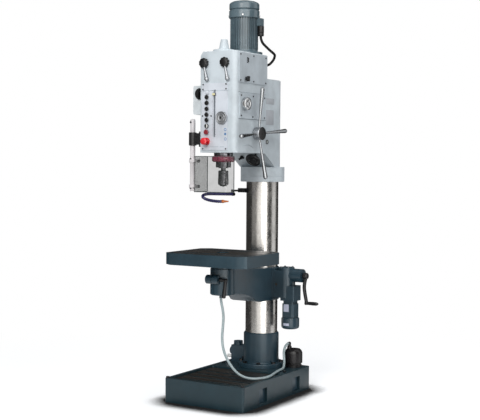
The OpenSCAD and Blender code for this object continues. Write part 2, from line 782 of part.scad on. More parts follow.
module motor_fan_cowl() {
    r = cowl_d / 2;
    color(motor_grey) translate([0, motor_y, cowl_z]) rotate_extrude($fn = 96)
        polygon([[70, 0], [motor_d / 2 + 1, 0],
        [motor_d / 2 + 1, -9], [r - 2, -9], [r, -6], [r, 31], [r - 3, 34], [r - 7, 35], [r - 7, 39],
            [r - 2, 39],
        [r - 1, 41], [r - 1, 66], [r - 6, 74], [r - 20, 81], [r - 45, 86], [0, 87], [0, 84], [r - 45, 83],
            [r - 21, 78],
        [r - 8, 72], [r - 4, 65], [r - 4, 42], [r - 11, 40], [r - 11, 33], [r - 3, 30], [r - 3, 4],
            [70, 4]]);
}

module motor_rotor() {
    color(steel) translate([0, motor_y, 0]) {
        up(high_gear_z) rotate(motor_phase) toothed(motor_teeth, drive_module, gear_w, 6);
        up(high_gear_z - 6) cylinder(r = 12, h = cowl_z + 44 - high_gear_z + 6);
        up(motor_z + 34) cylinder(r = 44, h = motor_h - 70);
        difference() {
            up(cowl_z + 12) cylinder(r = 68, h = 4);
            for (a = [0 : 60 : 300]) rotate(a) translate([42, 0, cowl_z + 11]) cylinder(r = 12, h = 6);
        }
        for (a = [0 : 45 : 315]) rotate(a) translate([20, -1.5, cowl_z + 15]) cube([46, 3, 16]);
    }
}

module layshaft() {
    color(steel) translate([0, lay_y, 0]) difference() {
        union() {
            up(gearbox_z + 6) cylinder(r = 12, h = gearbox_h - 12);
            up(low_gear_z) rotate(lay_low_phase) toothed(lay_small_teeth, drive_module, gear_w, 6);
            up(high_gear_z) rotate(lay_high_phase) toothed(lay_big_teeth, drive_module, gear_w, 6);
            up(low_gear_z + gear_w) cylinder(r = 20, h = high_gear_z - low_gear_z - gear_w);
        }
        for (z = [low_gear_z, high_gear_z]) for (a = [0 : 60 : 300]) rotate(a)
            translate([44, 0, z - eps]) cylinder(r = 11, h = gear_w + 2 * eps);
    }
}
// A tooth of one gear faces a gap of the other along the line of centres
lay_high_phase = 90 + 180 / lay_big_teeth;
lay_low_phase = -90;
motor_phase = -90;
sleeve_phase = 90 + 180 / sleeve_teeth;

module drive_sleeve() {
    color(steel) translate([0, -throat, 0]) difference() {
        union() {
            up(gearbox_z + 4) cylinder(r = sleeve_r, h = gearbox_h + 14);
            up(low_gear_z) rotate(sleeve_phase) toothed(sleeve_teeth, drive_module, gear_w, 12);
        }
        spline_bore();
    }
}

// Four-key spline, square keys on a round shaft
key_w = 7;
module spline_shape(grow) {
    circle(r = spline_r - 3 + grow);
    for (a = [0, 90]) rotate(a) square([2 * (spline_r + grow), key_w + 2 * grow], center = true);
}
module spline_bore() {
    up(gearbox_z) linear_extrude(height = gearbox_h + 30) spline_shape(0.3);
}

module spindle() {
    nose = quill_nose_z;
    color(steel) translate([0, -throat, 0]) {
        up(quill_top + 8) linear_extrude(height = gearbox_top + 24 - quill_top - 8) spline_shape(0);
        difference() {
            union() {
                up(nose - 4) cylinder(d = spindle_d, h = quill_l + 12);
                up(nose - 4) cylinder(r = 26, h = 3.6);
                up(nose - 16) rotate_extrude() polygon([[0, 0], [12.5, 0], [13.5, 12.5], [0, 12.5]]);
            }
            translate([-30, -5, nose + 50]) cube([60, 10, 26]);
        }
    }
}

module spindle_bearings() {
    color(steel) translate([0, -throat, 0]) for (z = [quill_nose_z + 6, quill_nose_z + 30, quill_top - 26])
        up(z) difference() {
            cylinder(r = 34 - seat_gap, h = 20);
            up(-eps) cylinder(r = spindle_d / 2 + run_gap, h = 20 + 2 * eps);
        }
}

quill_tooth = PI * feed_module;
module quill() {
    z0 = quill_nose_z;
    teeth = floor((quill_l - 46) / quill_tooth);
    phase = feed_z + quill_tooth / 2 - quill_tooth * floor((feed_z + quill_tooth / 2 - z0 - 34) / quill_tooth);
    color(steel) {
        difference() {
            translate([0, -throat, z0]) cylinder(r = quill_r, h = quill_l, $fn = 96);
            translate([0, -throat, z0 - eps]) cylinder(r = spindle_d / 2 + 2, h = quill_l + 2 * eps);
            translate([0, -throat, z0 + 6]) cylinder(r = 34, h = 44);
            translate([0, -throat, z0 - eps]) cylinder(r = 34, h = 10);
            translate([0, -throat, quill_top - 26]) cylinder(r = 34, h = 26 + eps);
            span_box([-10, -throat + quill_r - 2.25 * feed_module, phase - quill_tooth],
                [10, -throat + quill_r + eps, phase + teeth * quill_tooth]);
        }
        // rack teeth, back to their root
        translate([10, -throat + quill_r - 2.25 * feed_module, 0]) rotate([90, 0, -90]) mirror([1, 0, 0])
            linear_extrude(height = 20) for (i = [0 : teeth - 1])
                polygon([for (p = [[-0.2, -0.36], [-0.2, 0.36]]) [p[0],
                    phase + (i + p[1] * 0.79) * quill_tooth],
                    [1.68 * feed_module, phase + (i + 0.19) * quill_tooth],
                    [1.68 * feed_module, phase + (i - 0.19) * quill_tooth]]);
        // depth pointer that runs in the front slot
        span_box([slot_x - 2, panel_face - 8, pointer_z - 8], [slot_x + 2, -throat - 34, pointer_z + 8]);
        span_box([slot_x - 9, panel_face - 10, pointer_z - 6], [slot_x + 9, panel_face - 1, pointer_z + 6]);
    }
}

module quill_collar() {
    color(crimson) translate([0, -throat, quill_nose_z + 28.5]) difference() {
        rotate_extrude($fn = 96)
            polygon([[quill_r + seat_gap, 0], [quill_collar_d / 2 - 7, 0], [quill_collar_d / 2, 7],
            [quill_collar_d / 2, 28], [quill_collar_d / 2 - 4, 32], [quill_r + seat_gap, 32]]);
        span_box([-1.5, -quill_collar_d, -eps], [1.5, -quill_r + 4, 40]);
    }
}

// Drill chuck: the body hangs on the arbor, the sleeve turns on the body, three jaws inside
chuck_l = 87;
chuck_z = quill_nose_z - 16 - chuck_l;
sleeve_low = 12;
sleeve_high = 46;
jaw_bore = 13;
module chuck_body() {
    r = chuck_d / 2;
    core = r - 5;
    color(steel) translate([0, -throat, chuck_z]) difference() {
        rotate_extrude() polygon([[0, 4], [core - 7, 4], [core, sleeve_low], [core, sleeve_high + 0.4],
            [r - 1, sleeve_high + 0.4], [r - 1, chuck_l - 18], [r - 2.5, chuck_l - 16],
                [r - 1, chuck_l - 14],
            [r - 1, chuck_l - 4], [r - 5, chuck_l], [0, chuck_l]]);
        up(-eps) cylinder(r = jaw_bore, h = 62);
    }
}
module chuck_sleeve() {
    r = chuck_d / 2;
    color(black) translate([0, -throat, chuck_z]) difference() {
        rotate_extrude() polygon([[r - 5 + run_gap, sleeve_low + 1], [r - 3, sleeve_low],
            [r - 1, sleeve_low + 1],
            [r, sleeve_low + 4], [r, sleeve_high - 1], [r - 1, sleeve_high],
                [r - 5 + run_gap, sleeve_high]]);
        for (a = [0 : 20 : 340]) rotate(a) translate([r + 1.2, 0, sleeve_low + 6]) cylinder(r = 2.2, h = 22);
    }
}
module chuck_jaws() {
    color(steel) translate([0, -throat, chuck_z]) intersection() {
        for (a = [30, 150, 270]) rotate(a) translate([0.8, -4, 0]) cube([12, 8, 46]);
        rotate_extrude() polygon([[0, 0], [5, 0], [jaw_bore - 0.2, 16], [jaw_bore - 0.2, 46], [0, 46]]);
    }
}

// Feed: pinion shaft behind the quill, driven by the capstan shaft
module quill_pinion_shaft() {
    color(steel) along_x(0, feed_y, feed_z) {
        up(-9) rotate(quill_pinion_phase) toothed(quill_teeth, feed_module, 18, 6);
        up(-half_w + 6) cylinder(r = feed_shaft_r, h = 2 * half_w - 14);
        up(feed_gear_x) rotate(90) toothed(capstan_gear_teeth, feed_module, feed_gear_w, 6);
    }
}
// One tooth towards the quill, and of the gear one towards the capstan shaft
quill_pinion_phase = 90;

hub_l = 44;
hub_x = half_w + 3;
module capstan_hub() {
    r = hub_d / 2;
    color(black) along_x(0, capstan_y, feed_z) difference() {
        union() {
            up(-half_w + 18) cylinder(r = capstan_shaft_r, h = half_w + hub_x - 16);
            up(feed_gear_x) rotate(capstan_phase) toothed(capstan_gear_teeth, feed_module, feed_gear_w, 6);
            up(hub_x) rotate_extrude() polygon([[0, 0], [r - 4, 0], [r, 3], [r, hub_l - 10],
                [r - 3, hub_l - 4], [r - 10, hub_l], [0, hub_l + 3]]);
        }
        at_handles() up(r - 16) cylinder(r = 6 + seat_gap, h = 40);
    }
}
capstan_phase = 180 / capstan_gear_teeth - 90;

// Four handle seats, the child's +Z points out along each handle
handle_turn = 5;
handle_lean = 8;
module at_handles() {
    for (a = [0 : 90 : 270]) rotate(a + handle_turn) up(hub_x + hub_l / 2 - 4)
        rotate([0, 90 - handle_lean, 0]) children();
}
module capstan_handles() {
    r = hub_d / 2;
    color(steel) along_x(0, capstan_y, feed_z) at_handles() rotate_extrude() polygon(concat(
        [[0, r - 16], [6, r - 16], [6, r + 6], [5.5, r + 10], [6.5, r + 60], [9.5, handle_reach - 70]],
        [for (a = [0 : 15 : 90]) [12 * cos(a), handle_reach - 12 + 12 * sin(a)]]));
}

// Fine feed handwheel on the sloping neck, axis forward and down
wheel_x = 50;
wheel_y = -190;
wheel_z = head_bottom - 37;
wheel_tilt = 45;
module wheel_place() {
    translate([wheel_x, wheel_y, wheel_z]) rotate([90 + wheel_tilt, 0, 0]) children();
}
module fine_feed_handwheel() {
    r = handwheel_d / 2;
    color(black) wheel_place() {
        difference() {
            union() {
                rotate_extrude() polygon([[0, -8], [16, -8], [18, -6], [18, -4], [r - 10, -1],
                    [r - 8, -6], [r - 3, -8],
                    [r, -4], [r, 4], [r - 3, 8], [r - 8, 6], [r - 10, 4], [18, 4], [16, 7], [0, 8]]);
                translate([r - 9, 0, 6]) cylinder(r = 3, h = 8);
                translate([r - 9, 0, 10]) rotate_extrude()
                    polygon([[0, 0], [6, 0], [7, 4], [6.5, 16], [4, 20], [0, 20]]);
            }
            for (a = [60, 180, 300]) rotate(a) translate([(r - 10 + 18) / 2, 0, -10])
                cylinder(r = 5, h = 20);
        }
        up(-60) cylinder(r = 8, h = 54);
    }
}

// Wing screw beside it, axis square to the neck
wing_x = -46;
wing_y = -150;
wing_z = head_bottom - 16;
wing_tilt = 57;
module wing_place() {
    translate([wing_x, wing_y, wing_z]) rotate([90 + wing_tilt, 0, 0]) children();
}
module wing_screw() {
    color(black) wing_place() {
        up(-26) cylinder(r = 5, h = 30);
        up(3) cylinder(r = 9, h = 12);
        for (side = [-1, 1]) up(8) rotate([0, side * 58, 0]) translate([0, -3, 4])
            linear_extrude(height = 14)
            square([9, 6]);
    }
}

// Gear levers: round hub with a tapered arm hanging from it
lever_hub_r = 27;
lever_hub_l = 24;
lever_lean = 13;
module gear_lever(x) {
    color(black) out_front(x, -head_front, lever_z) {
        up(-head_wall - 4) cylinder(r = 10, h = head_wall + 6);
        difference() {
            up(1) rotate_extrude() polygon([[0, 0], [lever_hub_r - 2, 0], [lever_hub_r, 2],
                [lever_hub_r, lever_hub_l - 9], [lever_hub_r - 4, lever_hub_l - 3],
                    [lever_hub_r - 12, lever_hub_l],
                [0, lever_hub_l + 1]]);
            rotate(lever_lean) translate([-7, -lever_hub_r - 4, lever_hub_l / 2 - 7]) cube([14, 14, 14]);
        }
        rotate(lever_lean) translate([0, -10, lever_hub_l / 2 + 0.5]) rotate([90, 0, 0]) rotate_extrude()
            polygon(concat([[0, 0], [5, 0], [5, 16], [5.5, 30], [9, 66]],
            [for (a = [0 : 15 : 90]) [11.5 * cos(a), 76 + 11 * sin(a)]]));
    }
}
module gear_lever_left() { gear_lever(lever_left_x); }
module gear_lever_right() { gear_lever(lever_right_x); }

module feed_selector() {
    face = half_w + cover_t + 1;
    color(steel) along_x(0, selector_y, selector_z) {
        up(half_w - head_wall - 2) cylinder(r = 8, h = head_wall + cover_t + 4);
        up(face) rotate_extrude() polygon([[0, 0], [selector_r - 2, 0], [selector_r, 2],
            [selector_r, 20], [selector_r - 3, 24], [14, 24], [12, 26], [0, 26]]);
    }
}

module side_knob() {
    color(black) along_x(0, knob_y, knob_z) {
        up(half_w - 10) cylinder(r = 5, h = 10 + cover_t + 2);
        up(half_w + cover_t + 1) cylinder(r = 10, h = 5);
        up(half_w + cover_t + 5) linear_extrude(height = 14) {
            circle(r = 9);
            for (a = [30, 150, 270]) rotate(a) translate([8, 0]) circle(r = 7);
        }
    }
}

module depth_dial() {
    color(steel) out_front(dial_x, -head_front, dial_z) difference() {
        union() {
            up(-11) cylinder(r = 8, h = 16);
            up(panel_t + 1) rotate_extrude() polygon([[0, 0], [33, 0], [33, 5], [31, 7], [27, 7], [27, 9],
                [22, 10], [20, 13], [10, 15], [8, 15], [8, 18], [0, 19]]);
        }
        for (a = [0 : 12 : 348]) rotate(a) translate([34, 0, 3]) cylinder(r = 1.6, h = 8, $fn = 24);
    }
}

// Push button in the panel: cap in front, plunger through the wall
button_proud = 9;
button_gap = 5;
plunger_r = 6;
module plunger(end) {
    up(-head_wall - 4) cylinder(r = plunger_r - run_gap, h = head_wall + 4 + end);
}
module push_button(z, r) {
    out_front(button_x, -head_front, z) {
        plunger(panel_t + button_gap + eps);
        up(panel_t + button_gap) rotate_extrude() polygon([[0, 0], [r - 1, 0], [r, 1], [r, button_proud - 2],
            [r - 2, button_proud], [0, button_proud]]);
    }
}
module push_button_1() { color(black) push_button(button_zs[0], button_r); }
module push_button_2() { color(black) push_button(button_zs[1], button_r); }
module push_button_3() { color(black) push_button(button_zs[2], button_r); }
module push_button_4() { color(black) push_button(button_zs[3], button_r); }
module push_button_5() { color(black) push_button(button_zs[4], button_r); }
module selector_switch() {
    color(black) push_button(switch_sel_z, button_r);
    color([0.85, 0.85, 0.84]) out_front(button_x, panel_face - button_gap - button_proud, switch_sel_z)
        span_box([-3, -button_r + 1, 0], [3, button_r - 1, 7]);
}
module stop_button() { color([0.45, 0.1, 0.15]) push_button(stop_z, button_r + 1); }
module emergency_stop() {
    color([0.8, 0.1, 0.12]) out_front(button_x, -head_front, estop_z) {
        plunger(panel_t + button_gap + eps);
        up(panel_t + button_gap) rotate_extrude() polygon([[0, 0], [11, 0], [12, 15], [17, 19], [19, 23],
            [18, 30], [13, 35], [0, 37]]);
    }
}

// Switch box on the left side of the head, rotary main switch on its front
switch_w = 92;
switch_y0 = -400;
switch_y1 = -290;
switch_z0 = head_bottom + 205;
switch_z1 = head_bottom + 359;
switch_wall = 4;
main_x = -half_w - 48;
main_z = head_bottom + 315;
module switch_box() {
    color([0.66, 0.71, 0.70]) difference() {
        out_front(-half_w - switch_w / 2, switch_y1, (switch_z0 + switch_z1) / 2)
            linear_extrude(height = switch_y1 - switch_y0) rounded_rect(switch_w, switch_z1 - switch_z0, 10);
        span_box([-half_w - switch_w + switch_wall, switch_y0 + switch_wall, switch_z0 + switch_wall],
            [-half_w - switch_wall, switch_y1 - switch_wall, switch_z1 - switch_wall]);
        out_front(main_x, switch_y0 + switch_wall + eps, main_z)
            cylinder(r = 8 + run_gap, h = switch_wall + 2 * eps);
    }
}
module main_switch() {
    color(black) out_front(main_x, switch_y0, main_z) {
        up(-8) cylinder(r = 8, h = 10);
        up(0.6) cylinder(r = 30, h = 5);
        difference() {
            up(5) cylinder(r = 22, h = 24);
            for (side = [-1, 1]) translate([side * 18 - 11, -30, 12]) cube([22, 60, 20]);
        }
    }
}

// Guard: post and clamp fixed to the head, bent clear sheet that swings on the post
clamp_z0 = head_bottom + 38;
clamp_z1 = head_bottom + 108;
module guard_post() {
    color([0.85, 0.83, 0.84]) translate([post_x, post_y, guard_low + 2]) rotate_extrude()
        polygon([[0, 0], [post_r, 0],
        [post_r, 378], [post_r - 3, 384], [0, 386]]);
    color(black) difference() {
        union() {
            translate([post_x, post_y, clamp_z0]) cylinder(r = post_r + 7, h = clamp_z1 - clamp_z0);
            span_box([post_x, post_y - 16, clamp_z0 + 4], [-half_w, post_y + 16, clamp_z1 - 4]);
            span_box([-half_w - 12, post_y - 26, clamp_z0 - 8], [-half_w, post_y + 26, clamp_z1 + 4]);
        }
        translate([post_x, post_y, clamp_z0 - eps])
            cylinder(r = post_r + seat_gap, h = clamp_z1 - clamp_z0 + 2 * eps);
    }
}

module guard_plan() {
    r = guard_corner;
    w = guard_side;
    difference() {
        union() {
            polygon([[-w, guard_back_left], [-w, guard_front + r], [-w + r, guard_front],
                [w - r, guard_front],
                [w, guard_front + r], [w, guard_back_right], [w - guard_t, guard_back_right],
                [w - guard_t, guard_front + 30], [-w + guard_t, guard_front + 30],
                    [-w + guard_t, guard_back_left]]);
            for (x = [-1, 1]) translate([x * (w - r), guard_front + r]) circle(r = r);
        }
        union() {
            polygon([[-w + guard_t, guard_back_left + 7], [-w + guard_t, guard_front + r],
                [w - guard_t, guard_front + r], [w - guard_t, guard_back_left + 7]]);
            polygon([[-w + r, guard_front + guard_t], [w - r, guard_front + guard_t],
                [w - r, guard_front + 50], [-w + r, guard_front + 50]]);
            for (x = [-1, 1]) translate([x * (w - r), guard_front + r]) circle(r = r - guard_t);
        }
    }
}
bracket_zs = [guard_low + 29, guard_high - 26];
module chuck_guard() {
    color([0.72, 0.78, 0.76, 0.45]) up(guard_low) linear_extrude(height = guard_high - guard_low)
        guard_plan();
    // swinging collars on the post, with bars to the sheet
    color([0.85, 0.83, 0.84]) for (z = bracket_zs) difference() {
        union() {
            translate([post_x, post_y, z - 9]) cylinder(r = post_r + 5, h = 18);
            translate([post_x, post_y, z - 6]) rotate(bar_angle) span_box([8, -5, 0], [bar_l, 5, 12]);
            translate([-guard_side - 6, -505, z - 8]) cube([6, 26, 16]);
        }
        translate([post_x, post_y, z - 10]) cylinder(r = post_r + run_gap, h = 20);
    }
}
bar_angle = atan2(-492 - post_y, -guard_side - 3 - post_x);
bar_l = norm([-492 - post_y, -guard_side - 5 - post_x]);

// Coolant: pump, hose, junction box, nozzle
module pump_body() {
    color(black) translate([pump_x, pump_y, base_h]) difference() {
        union() {
            rotate_extrude() polygon([[0, 0], [pump_r - 5, 0], [pump_r - 5, 12], [pump_r - 8, 14],
                [pump_r - 8, 20],
                [pump_r - 1, 24], [pump_r - 1, 78], [pump_r - 5, 90], [pump_r - 14, 100], [0, 104]]);
            up(-46) cylinder(r = 16, h = 47);
            translate([elbow_foot[0] - pump_x, elbow_foot[1] - pump_y, 50]) rotate_extrude()
                polygon([[0, 0], [10, 0], [10, 52], [13, 52], [13, 62], [10, 66], [0, 66]]);
        }
        up(-47) cylinder(r = 8, h = 30);
    }
    // outlet upright and elbow that ends square on the hose
    color(steel) {
        translate([elbow_foot[0], elbow_foot[1], base_h + 110])
            cylinder(d = hose_d + 4, h = elbow_foot[2] - base_h - 110);
        translate(elbow_foot) sphere(d = hose_d + 4.6);
        translate(hose_route[0] + elbow_gap * elbow_way) along(elbow_way)
            cylinder(d = hose_d + 4, h = elbow_l - elbow_gap);
    }
}
elbow_way = -tangent(smooth_route(hose_route, 3), 0);
elbow_l = 14;
elbow_gap = 0.4;
elbow_foot = hose_route[0] + elbow_l * elbow_way;

module coolant_hose() {
    color([0.66, 0.72, 0.73]) tube(smooth_route(hose_route, 3), hose_d, 8, [1, 0, 0]);
}
module motor_cable() {
    color(black) tube(smooth_route(cable_route, 3), cable_d, 8, [1, 0, 0]);
}

// Dark box beside the socket, with a cover and a white fitting for a hose
module junction_box() {
    color(casting_blue) {
        span_box([-205, 10, base_h], [-socket_flange_d / 2 - 5, 74, base_h + 96]);
        span_box([-socket_flange_d / 2 - 6, 10, base_h + flange_t + 12],
            [-socket_d / 2 - 5, 74, base_h + 96]);
        translate([-176, 42, base_h + 96]) cylinder(r = 26, h = 22);
        along_x(-222, 42, base_h + 60) cylinder(r = 22, h = 18);
    }
    color([0.8, 0.8, 0.78]) along_x(-240, 30, base_h + 28) cylinder(r = 8, h = 36);
}

nozzle_z = column_top - 94;
nozzle_strap_h = 24;
nozzle_y = -139;
module nozzle_bracket() {
    color(black) {
        difference() {
            union() {
                up(nozzle_z) cylinder(r = column_r + 10, h = nozzle_strap_h);
                span_box([-column_r - 34, -62, nozzle_z], [-column_r + 20, -38, nozzle_z + nozzle_strap_h]);
            }
            up(nozzle_z - eps) cylinder(r = column_r + seat_gap, h = nozzle_strap_h + 2 * eps, $fn = 96);
            span_box([-40, -200, nozzle_z - eps], [200, 200, nozzle_z + nozzle_strap_h + eps]);
            span_box([-200, 20, nozzle_z - eps], [200, 200, nozzle_z + nozzle_strap_h + eps]);
        }
        span_box([-column_r - 26, nozzle_y - 9, nozzle_z + 6], [-column_r - 14, -50, nozzle_z + 16]);
        translate([-column_r - 20, nozzle_y, nozzle_z - 16]) cylinder(r = 9, h = 34);
        along_y(-column_r - 18, nozzle_y - 9.6, nozzle_z - 8) cylinder(r = 10, h = 18);
    }
}
module along_y(x, y, z) {
    translate([x, y, z]) rotate([-90, 0, 0]) children();
}

module nozzle_hose() {
    color([0.10, 0.09, 0.36]) tube(smooth_route(nozzle_route, 3), 15, 10, [1, 0, 0]);
    color([0.80, 0.43, 0.20]) translate(nozzle_end) along(nozzle_tip - nozzle_end) rotate_extrude()
        polygon([[0, -1], [9, -1], [9, 8], [7, 10], [5, 24], [3.5, 38], [0, 38]]);
}
// Turned so that the child's +Z lies along a direction
module along(v) {
    rotate([0, acos(v[2] / norm(v)), atan2(v[1], v[0])]) children();
}

// Table arm
arm_block_y = 49;
nipple_x = -4;
nipple_y = -424;
nipple_l = 17.9;
arm_block_x = 112;
module table_arm() {
    block_top = barrel_z + barrel_h - 3;
    color(casting_blue) difference() {
        union() {
            up(barrel_z) rotate_extrude($fn = 96) polygon([[0, 0], [barrel_r - 4, 0], [barrel_r, 4],
                [barrel_r, barrel_h - 4], [barrel_r - 4, barrel_h], [0, barrel_h]]);
            translate([0, -throat, boss_z]) rotate_extrude() polygon([[0, 0], [boss_r - 6, 0], [boss_r, 5],
                [boss_r, boss_top - boss_z - 3], [boss_r - 3, boss_top - boss_z], [0, boss_top - boss_z]]);
            intersection() {
                linear_extrude(height = table_top)
                    polygon([[-boss_r + 4, -throat - 8], [boss_r - 4, -throat - 8],
                    [barrel_r - 3, -20], [-barrel_r + 3, -20]]);
                side_prism(barrel_r) polygon([[-throat, boss_z + 4], [-380, boss_z + 5], [-309, boss_z - 3],
                    [-225, barrel_z + 33], [-203, barrel_z + 13], [-171, barrel_z + 4], [-20, barrel_z + 2],
                    [-20, barrel_z + barrel_h - 4], [-throat, boss_top - 4]]);
            }
            span_box([60, -arm_block_y, lift_case_z], [arm_block_x, arm_block_y, block_top]);
            along_x(clamp_left, clamp_y, clamp_z) cylinder(r = clamp_r, h = clamp_right - clamp_left);
        }
        up(barrel_z - eps) cylinder(r = column_r + run_gap, h = barrel_h + 2 * eps, $fn = 96);
        span_box([rack_back_x, rack_y - rack_w / 2 - 1, barrel_z - eps],
            [rack_tip_x + 9, rack_y + rack_w / 2 + 1, barrel_z + barrel_h + eps]);
        span_box([rack_back_x, -worm_wheel_w / 2 - open_gap, lift_z - lift_pinion_r - 8],
            [arm_block_x + eps, rack_y + rack_w / 2 + open_gap, lift_z + lift_pinion_r + 8]);
        translate([0, -throat, stub_bottom - 4]) cylinder(r = stub_r + run_gap, h = 200, $fn = 96);
        // split that the clamp screw closes
        span_box([-15, clamp_y - clamp_r - eps, boss_z - eps], [-12, -throat, boss_top + eps]);
        along_x(clamp_left - eps, clamp_y, clamp_z)
            cylinder(r = 8 + run_gap, h = clamp_right - clamp_left + 2 * eps);
    }
    // hose nipple under the boss
    color(steel) translate([nipple_x, nipple_y, boss_z - nipple_l]) cylinder(d = hose_d + 4, h = nipple_l);
}

module lift_gearbox() {
    half = 48;
    color(casting_blue) difference() {
        union() {
            span_box([arm_block_x, -half, lift_case_z], [worm_x, half, lift_case_top]);
            translate([worm_x, 0, lift_case_z]) cylinder(r = lift_case_r, h = lift_case_top - lift_case_z);
            translate([worm_x, 0, lift_case_top]) rotate_extrude()
                polygon([[0, 0], [44, 0], [44, 14], [41, 17], [0, 17]]);
            translate([lift_motor_x, 0, lift_block_z]) linear_extrude(height = 83)
                rounded_rect(lift_block, lift_block, 5);
            along_x(worm_x + 20, 0, crank_z) cylinder(r = 37, h = 264 - worm_x - 20);
        }
        // gear chamber
        translate([worm_x, 0, lift_case_z + 8]) cylinder(r = 38, h = lift_case_top - lift_case_z - 8);
        span_box([arm_block_x - eps, -worm_wheel_w / 2 - open_gap, lift_z - lift_pinion_r - 8],
            [worm_x, rack_y + rack_w / 2 + open_gap, lift_z + lift_pinion_r + 8]);
        along_y(lift_x, -half - eps, lift_z) cylinder(r = lift_shaft_r + run_gap, h = 2 * half + 2 * eps);
        along_x(worm_x + 20 - eps, 0, crank_z) cylinder(r = crank_shaft_r + run_gap, h = 100);
        translate([worm_x, 0, worm_foot_z - eps]) cylinder(r = worm_shaft_r + run_gap, h = 40);
        translate([worm_x, 0, lift_case_top - eps]) cylinder(r = worm_shaft_r + run_gap, h = 10);
    }
}

module lift_motor() {
    x = lift_motor_x;
    color([0.25, 0.30, 0.33]) {
        translate([x, 0, lift_block_z - 18]) linear_extrude(height = 18) rounded_rect(62, 62, 8);
        translate([x, 0, lift_block_z - 94]) linear_extrude(height = 76 + eps / 2)
            polygon([for (a = [0 : 90 : 270]) for (p = [[37, -26], [37, 26]])
            [p[0] * cos(a) - p[1] * sin(a), p[0] * sin(a) + p[1] * cos(a)]]);
        translate([x, 0, lift_motor_z]) rotate_extrude()
            polygon([[0, 0], [40, 0], [48, 6], [50, 14], [50, 56], [47, 61], [36, 63 + eps / 2],
            [0, 63 + eps / 2]]);
    }
}

// Gears turn about Y: the child's first axis points along +X
module lift_pinion_shaft() {
    color(steel) translate([lift_x, 0, lift_z]) rotate([-90, 0, 0]) {
        up(-47) cylinder(r = lift_shaft_r, h = 94);
        up(rack_y - rack_w / 2 + 1) rotate(lift_phase) toothed(lift_teeth, rack_module, rack_w - 2, 8);
        up(-worm_wheel_w / 2) difference() {
            cylinder(r = worm_wheel_r, h = worm_wheel_w);
            for (i = [0 : 26]) rotate(360 / 27 * i) translate([worm_wheel_r + 0.6, 0, -eps])
                cylinder(r = 1.8, h = worm_wheel_w + 2 * eps, $fn = 24);
        }
    }
}
lift_phase = 180;

module bevel(teeth) {
    difference() {
        up(-bevel_r) cylinder(r1 = bevel_r - 0.4, r2 = bevel_r - bevel_face - 0.4, h = bevel_face);
        for (i = [0 : teeth - 1]) rotate(360 / teeth * i) translate([bevel_r + 0.4, 0, -bevel_r - eps])
            rotate([0, -45, 0]) translate([0, -0.9, 0]) cube([4, 1.8, 14]);
    }
}

module worm_shaft() {
    color(steel) translate([worm_x, 0, 0]) {
        up(worm_foot_z) cylinder(r = worm_shaft_r, h = lift_case_top + 8 - worm_foot_z);
        up(lift_z - 22) rotate_extrude() polygon(concat([[0, 0]],
            [for (i = [0 : 6]) for (p = [[8.5, 0.2], [worm_r, 2.2], [worm_r, 4.2], [8.5, 6.2]]) [p[0],
                p[1] + i * 6.28]],
            [[0, 44]]));
        up(crank_z) bevel(16);
        up(lift_case_z + 9) cylinder(r = 15, h = 8);
    }
}

module lift_crank() {
    hub = crank_hub_x;
    color(steel) along_x(0, 0, crank_z) {
        up(worm_x) mirror([0, 0, 1]) bevel(16);
        up(worm_x + bevel_r - 1) cylinder(r = crank_shaft_r, h = hub - worm_x - bevel_r + 2);
    }
    color(black) {
        along_x(hub, 0, crank_z) rotate_extrude()
            polygon([[0, 0], [16, 0], [18, 3], [18, 20], [15, 24], [0, 24]]);
        // arm bends away from the hub and runs down to the grip
        for (seg = [[[hub + 12, 0, crank_z - 12], [hub + 4, 0, crank_z - 62]],
            [[hub + 4, 0, crank_z - 62], [hub + 19, 0, crank_z - crank_r + 3]]])
            translate(seg[0]) along(seg[1] - seg[0]) cylinder(r = 7.5, h = norm(seg[1] - seg[0]));
        translate([hub + 4, 0, crank_z - 62]) sphere(r = 8.5);
        along_x(hub + 10, 0, crank_z - crank_r) cylinder(r = 9, h = 18);
        along_x(hub + 26, 0, crank_z - crank_r) cylinder(r = 4, h = 62);
    }
}
module crank_grip() {
    color(black) along_x(crank_hub_x + 29, 0, crank_z - crank_r) difference() {
        rotate_extrude() polygon([[0, 0], [8, 0], [9, 2], [10, 30], [9.5, 50], [7, 58], [4, 62], [0, 62]]);
        up(-eps) cylinder(r = 4 + run_gap, h = 62);
    }
}

// Work table with coolant groove, T-slots and a through hole
module table_plan(inset) {
    x = table_w / 2 - inset;
    y = table_depth / 2 - inset;
    cx = table_chamfer_x - inset * 0.4;
    cy = table_chamfer_y - inset * 0.4;
    polygon([[-x + cx, -y], [x - cx, -y], [x, -y + cy], [x, y - cy], [x - cx, y], [-x + cx, y],
        [-x, y - cy], [-x, -y + cy]]);
}
groove_in = 14;
groove_w = 13;
module work_table() {
    top = table_t;
    color(casting_blue) translate([0, -throat, table_top - table_t]) difference() {
        union() {
            linear_extrude(height = top) table_plan(0);
            up(-20.7) cylinder(r = boss_r - 4, h = 21);
        }
        up(-21) cylinder(r = stub_r + seat_gap, h = 21 + spigot_in, $fn = 96);
        up(top - 7) linear_extrude(height = 8) difference() {
            table_plan(groove_in);
            table_plan(groove_in + groove_w);
        }
        for (y = [-112, 112]) tslot(-table_w / 2 + 40, table_w / 2 - 40, y, top, tslot_w, 26);
        for (x = [-1, 1]) for (y = [-1, 1]) translate([x * 132, y * 96, -eps]) linear_extrude(height = 30)
            rounded_rect(170, 120, 12);
        up(stub_bottom - table_top) cylinder(d = table_bore_d, h = 300);
    }
    // turned spigot, seated in the underside, that turns in the arm
    color(casting_blue) translate([0, -throat, stub_bottom]) difference() {
        cylinder(r = stub_r, h = table_top - table_t + spigot_in - seat_gap - stub_bottom, $fn = 96);
        up(-eps) cylinder(d = table_bore_d, h = 200);
    }
}
spigot_in = 18;

